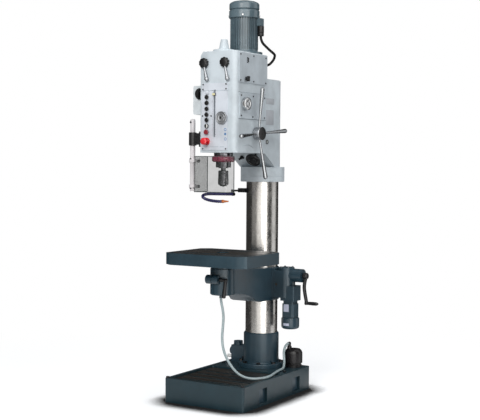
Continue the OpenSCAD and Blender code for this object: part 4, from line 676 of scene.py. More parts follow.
class Finishes:
    """The finishes of this machine."""

    BLUE_IRON = Paint("blue_enamel_on_iron", (38, 63, 75), 0.36, wear=0.06, dust=0.06, dust_colour=(88, 102, 112),
                      coat=0.4, shine=0.3)
    # Painted shade: the base's and the table's blue are darker copies of the arm's blue enamel, standing in for the
    # weaker light on them; their bare machined tops are real.
    BLUE_BASE_SHADED = Paint("blue_enamel_base_shaded", (26, 50, 58), 0.42, wear=0.06, dust=0.04, dust_colour=(60, 78, 86),
                      coat=0.35, shine=0.2, machined_above=0.117, machined_below=0.1265, machined=(56, 48, 40))
    BLUE_TABLE_SHADED = Paint("blue_enamel_table_shaded", (34, 58, 69), 0.4, wear=0.05, dust=0.04, dust_colour=(66, 84, 94),
                       coat=0.35, shine=0.2, machined_above=0.788, machined=(64, 61, 60))
    GREY_IRON = Paint("pale_grey_enamel", (204, 213, 218), 0.42, lump=0.0003, wear=0.06, bare=(150, 155, 158),
                      dust=0.08, dust_colour=(165, 165, 160), coat=0.1, shine=0.4)
    GREY_PLATE = Paint("pale_grey_plate", (190, 199, 205), 0.4, lump=0.0001, wear=0.05, dust=0.05, coat=0.2)
    PANEL = Paint("panel_sheet", (214, 219, 226), 0.33, lump=0.00006, wear=0.05, bare=(170, 172, 176), dust=0.03,
                  coat=0.3)
    SWITCH_GREY = Paint("switch_box_grey", (216, 222, 224), 0.45, lump=0.0001, wear=0.05, dust=0.05)
    MOTOR = Paint("motor_grey_enamel", (92, 110, 118), 0.22, lump=0.00005, wear=0.05, dust=0.05, coat=0.3)
    GROUND = Metal("ground_steel", (192, 190, 187), 0.24, marks=Marks.ROUND, mark_scale=900.0, depth=0.000006)
    RACK = Metal("rack_steel", (70, 66, 64), 0.35, marks=Marks.ALONG_Y, mark_scale=700.0)
    BRIGHT = Metal("bright_steel", (200, 202, 204), 0.16, mark_scale=300.0, depth=0.00001)
    BOLT = Metal("black_bolt", (58, 58, 60), 0.38, mark_scale=260.0)
    SCREW = Metal("zinc_screw", (128, 130, 134), 0.32, mark_scale=400.0)
    CHUCK = Metal("blued_chuck", (108, 108, 112), 0.09, marks=Marks.ROUND, mark_scale=900.0, depth=0.000003,
                  patchy=0.03, tarnish_share=0.05)
    BLACK_ENAMEL = Paint("black_enamel", (24, 24, 27), 0.32, lump=0.0002, wear=0.1, bare=(70, 70, 72), dust=0.06,
                         coat=0.15, shine=0.4)
    PUMP = Paint("pump_enamel", (24, 22, 24), 0.3, lump=0.0001, wear=0.05, bare=(60, 60, 62), dust=0.04, coat=0.1,
                 shine=0.3)
    BLACK = Plastic("black_plastic", (12, 12, 14), 0.34, scuff=0.06, shine=0.35)
    RUBBER = Plastic("black_rubber", (10, 10, 11), 0.6, depth=0.0001, skin_scale=500.0, scuff=0.03, shine=0.15)
    RED = Plastic("red_plastic", (222, 30, 42), 0.3, coat=0.3)
    DARK_RED = Plastic("dark_red_plastic", (128, 22, 36), 0.32, coat=0.3)
    CRIMSON = Plastic("crimson_anodised", (138, 22, 64), 0.25, coat=0.6)
    WHITE = Plastic("white_plastic", (226, 226, 222), 0.35, coat=0.2)
    BLUE_MARK = Plastic("blue_mark", (84, 128, 172), 0.4)
    HOSE = Plastic("clear_ribbed_hose", (172, 188, 190), 0.28, coat=0.4, ribs=0.006, rib_depth=0.0006)
    COOLANT_BLUE = Plastic("blue_hose_joint", (18, 16, 86), 0.32, coat=0.2)
    ORANGE = Plastic("orange_nozzle", (214, 116, 48), 0.35, coat=0.2)
    CHROME = Metal("polished_chrome", (150, 153, 156), 0.26, mark_scale=200.0, depth=0.000002, patchy=0.03,
                   tarnish_share=0.03)
    DULL = Metal("dull_aluminium", (150, 153, 157), 0.42, depth=0.000008, patchy=0.06, tarnish_share=0.06)
    POLISHED = Metal("polished_steel", (190, 192, 194), 0.12, mark_scale=400.0, depth=0.000005, patchy=0.04,
                     tarnish_share=0.05)
    BRASS = Plastic("pale_pointer", (214, 206, 160), 0.4)
    INK = Plastic("scale_ink", (96, 98, 102), 0.5)
    DARK_RING = Plastic("dark_ring", (70, 72, 76), 0.35, coat=0.2)
    GLOSS_BLACK = Metal("gloss_black", (96, 96, 100), 0.09, marks=Marks.ROUND, depth=0.000003, patchy=0.03,
                        tarnish_share=0.05)
    OIL_GLASS = Plastic("oil_glass", (196, 202, 196), 0.08, coat=1.0)
    PLATE_BARE = Paint("bare_plate", (184, 188, 193), 0.35, lump=0.00004, wear=0.02, dust=0.02)
    PLATE_BRIGHT = Paint("bright_plate", (205, 209, 228), 0.3, lump=0.00004, wear=0.02, dust=0.02)
    SEAM = Paint("seam_shadow", (140, 150, 156), 0.5, lump=0.00004, wear=0.0, dust=0.02)
    SHEET = Clear("guard_sheet", (62, 68, 66), 0.12, solid=0.24, edge_on=0.1)
    SHEET_EDGE = Clear("guard_sheet_edge", (84, 92, 92), 0.2, solid=0.8)
    # Painted reflection: the guard's post and hinges are bright steel, painted pale to stand for the white
    # surroundings that they mirror.
    POST_PAINTED_REFLECTION = Paint("pale_post_painted_reflection", (226, 221, 222), 0.35, lump=0.00004, wear=0.03, dust=0.03)


# Frame and pieces


@dataclass
class SubAssembly:
    """One sub-assembly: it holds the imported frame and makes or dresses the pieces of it."""

    frame: dict[str, Any]
    weld: ClassVar[float] = 0.00001
    edge_angle: ClassVar[float] = 40.0

    def build(self) -> None:
        """Makes and dresses its pieces."""
        raise NotImplementedError

    def piece(self, name: str, shape: Shape, finish: Finish, body: str | None, slot: str,
              stands_for: Sequence[str] = (), crease: float = 32.0) -> bpy.types.Object:
        """Makes a piece of the object from a shape.

        Args:
            name: Its name.
            shape: Its points and faces, in the frame.
            finish: Its finish.
            body: The body that it rides on, or None to leave it on no body.
            slot: The record's material slot; not used.
            stands_for: CAD nodes that it replaces.
            crease: Angle in degrees past which an edge stays sharp.
        Returns:
            The new object.
        """
        made = meshed(name, shape.points, shape.faces, material_of(finish))
        mesh = made.data
        mesh.update()
        mesh.polygons.foreach_set("use_smooth", np.ones(len(mesh.polygons), bool))
        mesh.set_sharp_from_angle(angle=math.radians(crease))
        if shape.along is not None:
            mesh.attributes.new("along", "FLOAT", "POINT").data.foreach_set("value", shape.along.astype(np.float32))
        if body:
            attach(made, body)
        if stands_for:
            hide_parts(*stands_for)
        LOG.info("piece %s: %d faces, %s, on %s", name, len(mesh.polygons), finish.name, body)
        return made

    def loose_cord(self, name: str, route: Sequence[Point], thick: float, step: float, finish: Finish,
                   body: str | None, slot: str, stands_for: str) -> bpy.types.Object:
        """Makes a hanging cord along a route, a little thinner than the CAD cord that it replaces.

        Args:
            name: Its name.
            route: The points that it runs through, from where it leaves the housing.
            thick: Diameter of the CAD cord.
            step: Distance between its stations.
            finish: Its finish.
            body: The body that it rides on, or None to leave it on no body.
            slot: The record's material slot; not used.
            stands_for: The CAD node that it replaces.
        Returns:
            The new object.
        """
        thick *= 0.985
        line = resampled(flowing(route, 12), step)
        made = self.piece(name, swept(line, thick / 2, around=20), finish, body, slot, [stands_for])
        return made

    def dress_node(self, node: str, finish: Finish, soften: float = 0.0) -> bpy.types.Object:
        """Gives a CAD node a finish and, where soften is set, rounds its sharp edges by that radius."""
        made = self.frame["nodes"][node]
        made.data.materials.clear()
        made.data.materials.append(material_of(finish))
        if soften:
            weld = made.modifiers.new("weld", "WELD")
            weld.merge_threshold = self.weld
            bevel = made.modifiers.new("soft_edges", "BEVEL")
            bevel.width, bevel.segments = soften, 2
            bevel.limit_method, bevel.angle_limit = "ANGLE", math.radians(self.edge_angle)
            bevel.use_clamp_overlap, bevel.harden_normals = True, False
            made.modifiers.new("weighted", "WEIGHTED_NORMAL").keep_sharp = False
        LOG.info("node %s: %s", node, finish.name)
        return made


# Camera, floor and light


@dataclass
class Studio:
    """The camera at the photograph's place, the pale floor, the lamps and the cards that bare metal mirrors."""

    azimuth: float = 31.19
    elevation: float = 2.48
    roll: float = 0.41
    lens: float = 80.77
    distance: float = 6.0691
    aim_right: float = -0.12526
    aim_up: float = 1.00676
    card_ring: float = 1.75
    floor_half: float = 30.0
    floor_glow: float = 0.3
    contact_reach: float = 0.13
    flash: float = 3.5
    aim: Point = (0.0, -0.2, 1.1)
    sensor: float = 36.0

    def camera(self) -> None:
        """Sets the camera: back = (sin a cos e, -cos a cos e, sin e), turned about its own line by the roll."""
        a, e, r = (math.radians(x) for x in (self.azimuth, self.elevation, self.roll))
        back = Vector((math.sin(a) * math.cos(e), -math.cos(a) * math.cos(e), math.sin(e)))
        right = Vector((math.cos(a), math.sin(a), 0))
        up = back.cross(right)
        turned_right = right * math.cos(r) + up * math.sin(r)
        turned_up = up * math.cos(r) - right * math.sin(r)
        data = bpy.data.cameras.new("camera")
        data.lens, data.sensor_width, data.sensor_fit = self.lens, self.sensor, "HORIZONTAL"
        data.clip_start, data.clip_end = 0.1, 100.0
        made = placed("camera", data)
        place = right * self.aim_right + Vector((0, 0, self.aim_up)) + back * self.distance
        turn = Matrix((turned_right, turned_up, back)).transposed()
        made.matrix_world = Matrix.Translation(place) @ turn.to_4x4()
        bpy.context.scene.camera = made

    def world(self) -> None:
        """White behind the object and in its mirrors, and an even light of its own on everything."""
        world = bpy.data.worlds.new("world")
        bpy.context.scene.world = world
        tree = Tree.of(world)
        shown = tree.seen()
        colour = tree.mix(shown, (0.93, 0.96, 1.0, 1.0), (1.0, 1.0, 1.0, 1.0))
        light = tree.add("Background", {"Color": colour, "Strength": tree.span(shown, 0.0, 1.0, 0.62, 1.0)})
        tree.add("OutputWorld", {0: light.outputs[0]})

    def floor(self) -> None:
        """A wide pale floor that shows white where no shadow falls, with a painted contact shadow: ambient occlusion
        darkens its glow and colour near the object.
        """
        paint = bpy.data.materials.new("pale_floor")
        tree = Tree.of(paint)
        place = tree.add("TexCoord").outputs["Object"]
        away = tree.add("VectorMath", {0: place, 1: (0.0, -0.25, 0.0)}, operation="DISTANCE").outputs["Value"]
        # Painted contact shadow: ambient occlusion darkens the floor's glow and colour near the object.
        open_air = tree.add("AmbientOcclusion", {"Distance": self.contact_reach}, samples=8).outputs["AO"]
        painted_contact_shadow = tree.span(open_air, 0.78, 0.98, 0.02, 1.0)
        near = tree.times(tree.span(away, 0.7, 2.6, 0.8, 0.0), painted_contact_shadow)
        matt = tree.add("BsdfDiffuse", {"Color": tree.add("CombineXYZ", {0: near, 1: near, 2: near}).outputs[0]})
        more = tree.times(tree.seen(), tree.span(away, 0.7, 2.6, 0.0, 1.0 - self.floor_glow))
        strength = tree.times(tree.plus(more, self.floor_glow), painted_contact_shadow)
        glow = tree.add("Emission", {"Color": (1.0, 1.0, 1.0, 1.0), "Strength": strength})
        both = tree.add("AddShader", {0: matt.outputs[0], 1: glow.outputs[0]})
        tree.add("OutputMaterial", {0: both.outputs[0]})
        w, z = self.floor_half, -0.0005
        meshed("floor", np.array([[-w, -w, z], [w, -w, z], [w, w, z], [-w, w, z]]), [(0, 1, 2, 3)], paint)

    def lamp(self, name: str, azimuth: float, height: float, away: float, size: float, watts: float) -> None:
        """A square soft lamp that faces the middle of the object.

        Args:
            name: Its name.
            azimuth: Where it stands, in degrees from the front towards the right of the object.
            height: Height of its middle.
            away: Distance from the column, level.
            size: Its side.
            watts: Its power.
        """
        data = bpy.data.lights.new(name, "AREA")
        data.size, data.energy = size, watts
        made = placed(name, data)
        a = math.radians(azimuth)
        made.location = (away * math.sin(a), -away * math.cos(a), height)
        made.rotation_euler = (Vector(self.aim) - made.location).to_track_quat("-Z", "Y").to_euler()

    def card(self, name: str, turns: Pair, edges: Sequence[Pair], light: float) -> None:
        """One card of the studio, which only mirrors see.

        Args:
            name: Its name.
            turns: First and last angle, in degrees from the front towards the right of the object.
            edges: Radius and height of its two long edges.
            light: How bright its mirror image is.
        """
        t = np.radians(np.linspace(*turns, 24 if edges[0][0] == edges[1][0] else 40))
        points = np.vstack([np.stack([r * np.sin(t), -r * np.cos(t), np.full(len(t), z)], -1) for r, z in edges])
        paint = bpy.data.materials.new(name)
        tree = Tree.of(paint)
        glow = tree.add("Emission", {"Color": (1.0, 0.98, 0.95, 1.0), "Strength": light})
        tree.add("OutputMaterial", {0: glow.outputs[0]})
        made = meshed(name, points, grid_quads(2, len(points) // 2, wrap_cols=False), paint)
        made.visible_camera = made.visible_diffuse = made.visible_shadow = made.visible_transmission = False
        made.visible_volume_scatter = False

    def cards(self) -> None:
        """Standing cards round the studio, each a strip of a cylinder about the column, point (t, z) at
        (R sin t, -R cos t, z), and one dark card that lies behind. They give the ground column and the handles
        their dark and light bands, and the bright one gives black paint its shine."""
        ring = self.card_ring
        for name, start, stop, light in (
            ("back_right", 139, 214, 0.03), ("back_left", 214, 314, 0.045), ("left", 314, 350, 0.35),
            ("white", 356, 384, 1.5), ("white_left", 350, 356, 0.7), ("white_right", 384, 392, 0.6),
            ("flash", 26, 62, self.flash), ("right", 64, 102, 0.06),
        ):
            self.card("card_" + name, (start, stop), ((ring, 0.0), (ring, 5.0)), light)
        self.card("card_floor", (128, 318), ((0.66, 0.012), (ring, 0.012)), 0.12)

    def build(self) -> None:
        """Makes the camera, the world, the floor, the lamps and the cards."""
        bpy.context.scene.view_settings.view_transform = "Standard"
        self.camera()
        self.world()
        self.floor()
        for lamp in (("key", 10, 3.4, 4.2, 1.8, 112), ("fill", 85, 3.3, 2.0, 1.0, 12),
                     ("top", 170, 4.5, 2.5, 2.0, 45)):
            self.lamp(*lamp)
        self.cards()


# Cords and coolant


@dataclass
class Coolant(SubAssembly):
    """Clear hose from the pump to the table arm, the jointed nozzle line, the pump and the junction box."""

    bore: float = 0.014
    route: tuple[Point, ...] = mm("152 42 258, 152 28 257, 152.5 13 251.5, 153 1 242.5, 154 -8.5 231, "
                                  "155 -14.3 217.5, 156.5 -16.5 202, 158.5 -17.5 185, 161.5 -21.5 168, "
                                  "166 -31 153, 171 -45 142.5, 176 -62 137, 180 -84 136, 184 -112 136, "
                                  "190 -148 136, 198 -186 136, 208 -226 136, 217 -264 136, 222 -300 136, "
                                  "221 -335 136, 212 -366 136, 195 -390 136.2, 173 -404.5 137.2, "
                                  "149 -412.5 140.5, 125 -416.5 147.5, 101 -419 159.5, 78 -420.5 177.5, "
                                  "56 -421.5 201, 36 -422 229, 20 -422.5 259.5, 10 -423 291, 5.5 -423 322, "
                                  "5 -423.5 354, 8.5 -424 392, 11.5 -424 430, 11.5 -424 465, 6.5 -424 496, "
                                  "1 -424 518, -3 -424 537, -4 -424 552.6")
    nozzle_route: tuple[Point, ...] = mm("-108 -149 1098, -109 -196 1099, -118 -270 1101, -120 -340 1103, "
                                         "-119 -392 1103, -113 -434 1098, -103 -455 1090, -93 -452 1081, "
                                         "-84 -428 1073, -74 -392 1067, -62 -360 1064, -50 -346 1064")
    nozzle_tip: Point = (-0.012, -0.341, 1.065)
    joint_pitch: float = 0.0135
    joint_r: float = 0.0084
    junction: Point = (-0.204, 0.030, 0.156)

    def hose(self) -> None:
        """The clear ribbed hose, left on no body."""
        made = self.loose_cord("coolant_hose_ribbed", self.route, self.bore, 0.004, Finishes.HOSE, None, "clear_hose",
                               "coolant_hose")
        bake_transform(made)

    def nozzle(self) -> None:
        """The jointed blue line: each joint's ball swells as r (0.84 + 0.16 sin^0.6) along its pitch."""
        line = resampled(flowing(self.nozzle_route, 12), 0.0011)
        part = np.mod(lengths(line), self.joint_pitch) / self.joint_pitch
        radius = self.joint_r * (0.84 + 0.16 * np.sin(np.pi * np.clip(part * 1.35, 0, 1)) ** 0.6)
        self.piece("nozzle_line", swept(line, radius, around=20), Finishes.COOLANT_BLUE, "frame", "blue_hose",
                   ["nozzle_hose"], crease=60)
        tip = turned(mm("0 -1, 8.8 -1, 9 8, 6.8 11, 5 24, 3.5 37.8, 1.8 37.8, 1.8 30, 0 30"), 0.0008, 32)
        end = self.nozzle_route[-1]
        seat = Seat(end, tuple(b - a for a, b in zip(end, self.nozzle_tip)))
        self.piece("nozzle_tip", tip.at(seat), Finishes.ORANGE, "frame", "blue_hose")

    def build(self) -> None:
        """Makes the hose and the nozzle line, and dresses the pump and the junction box."""
        self.hose()
        self.nozzle()
        for node, finish, soften in (("pump_body", Finishes.PUMP, 0.0012),
                                     ("nozzle_bracket", Finishes.BLACK_ENAMEL, 0.001),
                                     ("junction_box", Finishes.BLUE_IRON, 0.0015)):
            self.dress_node(node, finish, soften)
        fitting = turned(mm("0 -1, 10.5 -1, 10.5 10, 8.8 12.5, 8.8 26, 9.8 28, 9.8 35.5, 7 36.5, 0 36.5"), 0.0008, 32)
        self.piece("junction_fitting", fitting.at(Seat(self.junction, (-1, 0, 0), (0, 1, 0))),
                   Finishes.WHITE, "frame", "panel_sheet")


@dataclass
class MotorLead(SubAssembly):
    """The motor's black lead, from the gland under the terminal box to the plug on the gearbox."""

    thick: float = 0.014
    route: tuple[Point, ...] = mm("88 -182 1956.6, 88.5 -181 1944, 95 -172 1920, 111 -145 1894, 120 -127 1880, "
                                  "125 -106 1869, 119 -82 1859, 104 -71 1838, 89 -82 1816, 83 -104 1807, "
                                  "82 -122 1806, 82 -137.6 1806")

    def build(self) -> None:
        """Makes the lead and its gland."""
        self.loose_cord("motor_lead", self.route, self.thick, 0.003, Finishes.RUBBER, "frame", "black_rubber",
                        "motor_cable")
        nut = turned(mm("7.5 1957.5, 15 1957.5, 16.5 1960, 16.5 1972, 15.8 1974, 14.5 1975, 17 1976.5, 17 2009, "
                        "16 2011, 7.5 2011"), 0.0012, 144, lobes=12, depth=0.05)
        self.piece("motor_gland", nut.at(Seat((*self.route[0][:2], 0.0))), Finishes.BLACK, "frame", "black_plastic")


# Castings


@dataclass
class Castings(SubAssembly):
    """Finishes of the castings, the column, the covers and the small parts, and the side pockets' floors."""

    floor_x: float = 0.2315
    pocket_z: float = 0.053
    pockets: Pair = (-0.400, -0.036)

    def build(self) -> None:
        """Makes the floors and dresses every node that has no other maker."""
        f = Finishes
        floor = block(0.0835, 0.0755, -0.003, 0.0, 0.004)
        seats = [Seat((self.floor_x, y, self.pocket_z), (1, 0, 0), (0, 1, 0)) for y in self.pockets]
        self.piece("pocket_floors", floor.on(seats), f.BLUE_IRON, "frame", "blue_casting")
        for node, finish, soften in (
            ("base", f.BLUE_BASE_SHADED, 0.003), ("column_flange", f.BLUE_IRON, 0.0015), ("table_arm", f.BLUE_IRON, 0.003),
            ("work_table", f.BLUE_TABLE_SHADED, 0.002), ("lift_gearbox", f.BLUE_IRON, 0.0025),
            ("column_top_flange", f.GREY_IRON, 0.001), ("head_casting", f.GREY_IRON, 0.0025),
            ("gearbox_housing", f.GREY_IRON, 0.0025), ("side_covers", f.GREY_PLATE, 0.0008),
            ("spindle_cap", f.GREY_IRON, 0.002), ("control_panel", f.PANEL, 0.0005),
            ("motor_frame", f.MOTOR, 0.0012), ("motor_fan_cowl", f.MOTOR, 0.002), ("lift_motor", f.BLUE_IRON, 0.0015),
            ("switch_box", f.SWITCH_GREY, 0.0015), ("column", f.GROUND, 0.0), ("column_rack", f.RACK, 0.0003),
            ("fasteners", f.BOLT, 0.0005), ("lift_pinion_shaft", f.RACK, 0.0), ("worm_shaft", f.RACK, 0.0),
            ("lift_crank", f.BLACK_ENAMEL, 0.001), ("crank_grip", f.BLACK, 0.0), ("quill", f.CHUCK, 0.0),
            ("quill_collar", f.CRIMSON, 0.0), ("spindle_bearings", f.RACK, 0.0), ("spindle", f.CHUCK, 0.0),
            ("chuck_body", f.CHUCK, 0.0), ("chuck_sleeve", f.CHUCK, 0.0), ("chuck_jaws", f.BRIGHT, 0.0),
            ("drive_sleeve", f.RACK, 0.0), ("layshaft", f.RACK, 0.0), ("motor_rotor", f.RACK, 0.0),
            ("quill_pinion_shaft", f.RACK, 0.0), ("fine_feed_handwheel", f.BLACK, 0.0), ("wing_screw", f.BLACK, 0.0),
            ("side_knob", f.BLACK, 0.0), ("stop_button", f.DARK_RED, 0.0), ("emergency_stop", f.RED, 0.0),
            ("main_switch", f.BLACK, 0.0),
        ):
            self.dress_node(node, finish, soften)


# Controls and trim


def front_seat(x: float, z: float, y: float = -0.473) -> Seat:
    """A seat on the head's front: its Z points at the operator and its Y points up."""
    return Seat((x, y, z), (0, -1, 0), (1, 0, 0))


def side_seat(y: float, z: float, x: float = 0.112) -> Seat:
    """A seat on the head's right side: its Z points along +X and its Y points up."""
    return Seat((x, y, z), (1, 0, 0), (0, 1, 0))


def block(wide: float, tall: float, low: float, high: float, corner: float = 0.001) -> Shape:
    """A plate with rounded corners and edges about its own Z axis."""
    return pressed(plate_outline(wide, tall, corner), low, high, min(corner, (high - low) * 0.3))


@dataclass
class GearLevers(SubAssembly):
    """Two gear levers: a black fluted knob with a dull arm that leans out of it."""

    knob_r: float = 0.027
    arm_y: float = -0.4855
    lean: float = 13.0
    places: tuple[tuple[str, float], ...] = (("gear_lever_left", -0.084), ("gear_lever_right", 0.044))
    height: float = 1.795

    def build(self) -> None:
        """Makes both levers."""
        r = self.knob_r
        knob = turned([(0, 0.001), (r - 0.002, 0.001), (r, 0.003), (r, 0.0145), (r - 0.003, 0.0195),
                       (r - 0.011, 0.0238), (0.004, 0.0249), (0, 0.0249)], 0.0012, 144, lobes=10,
                      depth=0.14)
        lean = math.radians(self.lean)
        rod = turned(mm("0 12, 4.8 12, 5 28, 5.6 40, 8.8 76, 11.2 83, 11.4 86.5, 10.5 92.5, 7 96.3, 1 97, 0 97"),
                     0.002, 40)
        way = (math.sin(lean), 0.0, -math.cos(lean))
        for name, x in self.places:
            self.piece(f"{name}_knob", knob.at(front_seat(x, self.height)), Finishes.BLACK, name, "black_plastic",
                       [name])
            arm = rod.at(Seat((x, self.arm_y, self.height), way, (0, -1, 0)))
            self.piece(f"{name}_arm", arm, Finishes.DULL, name, "bright_steel")


@dataclass
class Capstan(SubAssembly):
    """The four polished handles of the feed capstan, its hub and its black cap."""

    centre: Point = (0.133, -0.275, 1.429)
    turn: float = 5.0
    lean: float = 8.0
    reach: float = 0.247
    hub_r: float = 0.035
    face: float = 0.115

    def build(self) -> None:
        """Makes the handles, each a turned rod that swells towards a round end, the hub and the cap."""
        end = self.reach - 0.012
        arc = np.radians(np.arange(0, 90, 15))
        profile = [(0, self.hub_r - 0.016), (0.006, self.hub_r - 0.016), (0.006, self.hub_r + 0.006),
                   (0.0055, self.hub_r + 0.01), (0.0064, 0.095), (0.0095, self.reach - 0.07)]
        profile += [(0.012 * math.cos(t), end + 0.012 * math.sin(t)) for t in arc]
        profile += [(0.001, self.reach), (0, self.reach)]
        rod = turned(profile, 0.001, 40)
        out = math.radians(90 - self.lean)
        seats = [Seat(self.centre, (math.cos(out), math.sin(a) * math.sin(out), -math.cos(a) * math.sin(out)))
                 for a in np.radians(np.arange(4) * 90 + self.turn)]
        self.piece("capstan_rods", rod.on(seats), Finishes.CHROME, "capstan", "bright_steel", ["capstan_handles"])
        seat = side_seat(self.centre[1], self.centre[2], self.face)
        body = turned(mm("0 0.5, 31 0.5, 33.5 3, 33.5 33, 32 37.5, 0 37.5"), 0.001, 72)
        self.piece("capstan_body", body.at(seat), Finishes.DULL, "capstan", "bright_steel", ["capstan_hub"])
        cap = turned(mm("0 38.5, 33 38.5, 34.8 40, 34.8 42.5, 32 45.5, 22 46.8, 9.5 46.8, 9.5 49.2, 0 49.2"), 0.0008,
                     72)
        self.piece("capstan_cap", cap.at(seat), Finishes.BLACK, "capstan", "black_plastic")


@dataclass
class Panel(SubAssembly):
    """The front: button caps and rings, lamp, depth scale and pointer, marks, screws and bare label strips."""

    face: float = -0.476
    column_x: float = -0.066
    lamp_z: float = 1.640
    buttons: tuple[float, ...] = (1.616, 1.586, 1.555, 1.525, 1.496)
    selector_z: float = 1.465
    stop_z: float = 1.433
    emergency_z: float = 1.384
    cap_r: float = 0.0118
    slot_x: float = -0.019
    slot_z: float = 1.530
    pointer_z: float = 1.630
    scale_z: float = 1.412
    tick_pitch: float = 0.006
    ticks: int = 41
    blue_rings: tuple[Pair, ...] = ((0.048, 1.445), (0.049, 1.396))
    blue_disc: Pair = (0.048, 1.422)
    label_z: float = 1.3555

    @staticmethod
    def ring(inner: float, outer: float, high: float = 0.002) -> Shape:
        """A raised ring for round a control."""
        profile = [(inner, 0.0), (outer, 0.0), (outer, high * 0.5), (outer - 0.0006, high), (inner, high)]
        return turned(profile, 0.0003, 40, hollow=True)

    def put(self, shape: Shape, *places: Sequence[float]) -> Shape:
        """The shape put on the panel's face at each place, given as x and z."""
        return shape.on(front_seat(x, z, self.face) for x, z in places)

    def caps(self) -> None:
        """The five button caps, the half-white selector and the raised rings round them."""
        x, r = self.column_x, self.cap_r
        rings = (self.put(self.ring(0.0122, 0.0138, 0.0016), *[(x, z) for z in self.buttons])
                 + self.put(self.ring(0.0132, 0.0150, 0.0016), (x, self.stop_z))
                 + self.put(self.ring(0.0122, 0.0138, 0.0016), (x, self.selector_z)))
        self.piece("button_rings", rings, Finishes.GREY_PLATE, "frame", "panel_sheet")
        cap = turned([(0, -0.0010), (0.0050, -0.0010), (0.0050, 0.0044), (r - 0.0006, 0.0044), (r, 0.0050),
                      (r, 0.0076), (r - 0.0012, 0.0090), (r - 0.0045, 0.0096), (0.001, 0.0098), (0, 0.0098)], 0.0006,
                     48)
        names = [(f"push_cap_{n}", f"push_button_{n}", z) for n, z in enumerate(self.buttons, 1)]
        for name, node, z in [*names, ("selector_cap", "selector_switch", self.selector_z)]:
            self.piece(name, self.put(cap, (x, z)), Finishes.BLACK, node, "black_plastic", [node])
        t, round_r = np.radians(np.linspace(-84, 84, 24)), 0.0096
        bow = np.stack([round_r * np.cos(t), round_r * np.sin(t)], -1)
        chord = np.stack([0.0034 * np.cos(t[::-1]) - 0.0012, round_r * np.sin(t[::-1])], -1)
        moon = pressed(np.concatenate([bow, chord]), 0.0088, 0.0102, 0.0002, 2)
        self.piece("selector_mark", self.put(moon, (x, self.selector_z)), Finishes.WHITE, "selector_switch",
                   "panel_sheet")

    def depth_slot(self) -> None:
        """The depth slot's lips, its scale of ticks, every fifth longer, and the pale pointer on the quill."""
        x, z = self.slot_x, self.slot_z
        long, short = block(0.009, 0.0009, 0.0, 0.0002, 0.0001), block(0.005, 0.0009, 0.0, 0.0002, 0.0001)
        ticks = []
        for n in range(self.ticks):
            tick, out = (short, 0.0105) if n % 5 else (long, 0.0125)
            ticks.append(self.put(tick, (x - out, self.scale_z + self.tick_pitch * n)))
        lips = self.put(block(0.0018, 0.25, 0.0, 0.0005, 0.0003), (x - 0.0043, z), (x + 0.0043, z))
        pointer = pressed(np.array(mm("-8.5 -5.5, 8.5 -5.5, 8.5 5.5, -8.5 5.5")), 0.0102, 0.0112, 0.0004)
        self.piece("depth_scale_ticks", together(ticks), Finishes.INK, "frame", "panel_sheet")
        self.piece("depth_slot_lips", lips, Finishes.INK, "frame", "panel_sheet")
        self.piece("depth_pointer_face", self.put(pointer, (x, self.pointer_z)), Finishes.BRASS, "quill",
                   "bright_steel")

    def build(self) -> None:
        """Makes the front's trim."""
        self.caps()
        x = self.column_x
        lamp = turned(mm("0 0, 8.6 0, 8.6 3, 6.2 4.5, 2 5.2, 0 5.2"), 0.001, 40)
        collar = turned(mm("12.8 0.3, 19.8 0.3, 19.8 4.2, 18.5 6, 12.8 6"), 0.0006, 56, True)
        self.piece("lamp_lens", self.put(lamp, (x, self.lamp_z)), Finishes.PANEL, "frame", "panel_sheet")
        self.piece("lamp_ring", self.put(self.ring(0.0088, 0.0118), (x, self.lamp_z)), Finishes.SEAM, "frame",
                   "panel_sheet")
        self.piece("emergency_collar", self.put(collar, (x, self.emergency_z)), Finishes.RED, "frame", "red_plastic")
        self.depth_slot()
        marks = (self.put(self.ring(0.0048, 0.0078, 0.0004), *self.blue_rings)
                 + self.put(pressed(circle(0.0066), 0.0, 0.0004, 0.0001), self.blue_disc))
        self.piece("blue_marks", marks, Finishes.BLUE_MARK, "frame", "panel_sheet")
        screw = turned(mm("0 0, 3.6 0, 3.6 1.2, 2.8 1.8, 1.4 1.8, 1.4 0.6, 0 0.6"), 0.0002, 20)
        screws = self.put(screw, *mm("-93 1518.5, -39 1517.5, -91 1345, 52 1345"))
        self.piece("panel_face_screws", screws, Finishes.BOLT, "frame", "black_paint")
        strips = (self.put(block(0.05, 0.004, 0.0, 0.0003, 0.0002), (-0.02, self.label_z))
                  + self.put(block(0.026, 0.004, 0.0, 0.0003, 0.0002), (0.028, self.label_z)))
        self.piece("foot_label_bare", strips, Finishes.GREY_PLATE, "frame", "panel_sheet")


@dataclass
class DepthDial(SubAssembly):
    """The silver dial: stepped rings, a graduated rim and a black button in the middle."""

    x: float = 0.028
    z: float = 1.507
    radius: float = 0.033
    face: float = -0.477

    def build(self) -> None:
        """Makes the dial's rings, graduations and button."""
        r = self.radius
        seat = front_seat(self.x, self.z, self.face)
        body = turned([(0, 0.0), (r - 0.002, 0.0), (r, 0.002), (r, 0.0095), (r - 0.0015, 0.0112), (r - 0.004, 0.0112),
                       (r - 0.0052, 0.0088), (r - 0.0125, 0.0082), (r - 0.0135, 0.0108), (r - 0.0155, 0.0112),
                       (r - 0.0170, 0.0096), (0.0072, 0.0090), (0.0066, 0.0102), (0.001, 0.0102), (0, 0.0102)],
                      0.0005, 96)
        self.piece("dial_body", body.at(seat), Finishes.DULL, "depth_dial", "bright_steel", ["depth_dial"])
        scale_r = r - 0.0086
        seats = [Seat((self.x + math.cos(t) * scale_r, self.face, self.z + math.sin(t) * scale_r), (0, -1, 0),
                      (math.cos(t), 0, math.sin(t))) for t in np.radians(np.arange(0, 360, 7.5))]
        ticks = block(0.0045, 0.0005, 0.0082, 0.0090, 0.0001).on(seats)
        self.piece("dial_graduations", ticks, Finishes.INK, "depth_dial", "black_plastic")
        button = turned(mm("0 9, 6.2 9, 6.2 10.8, 5 11.4, 0 11.4"), 0.0004, 32)
        self.piece("dial_button", button.at(seat), Finishes.BLACK, "depth_dial", "black_plastic")


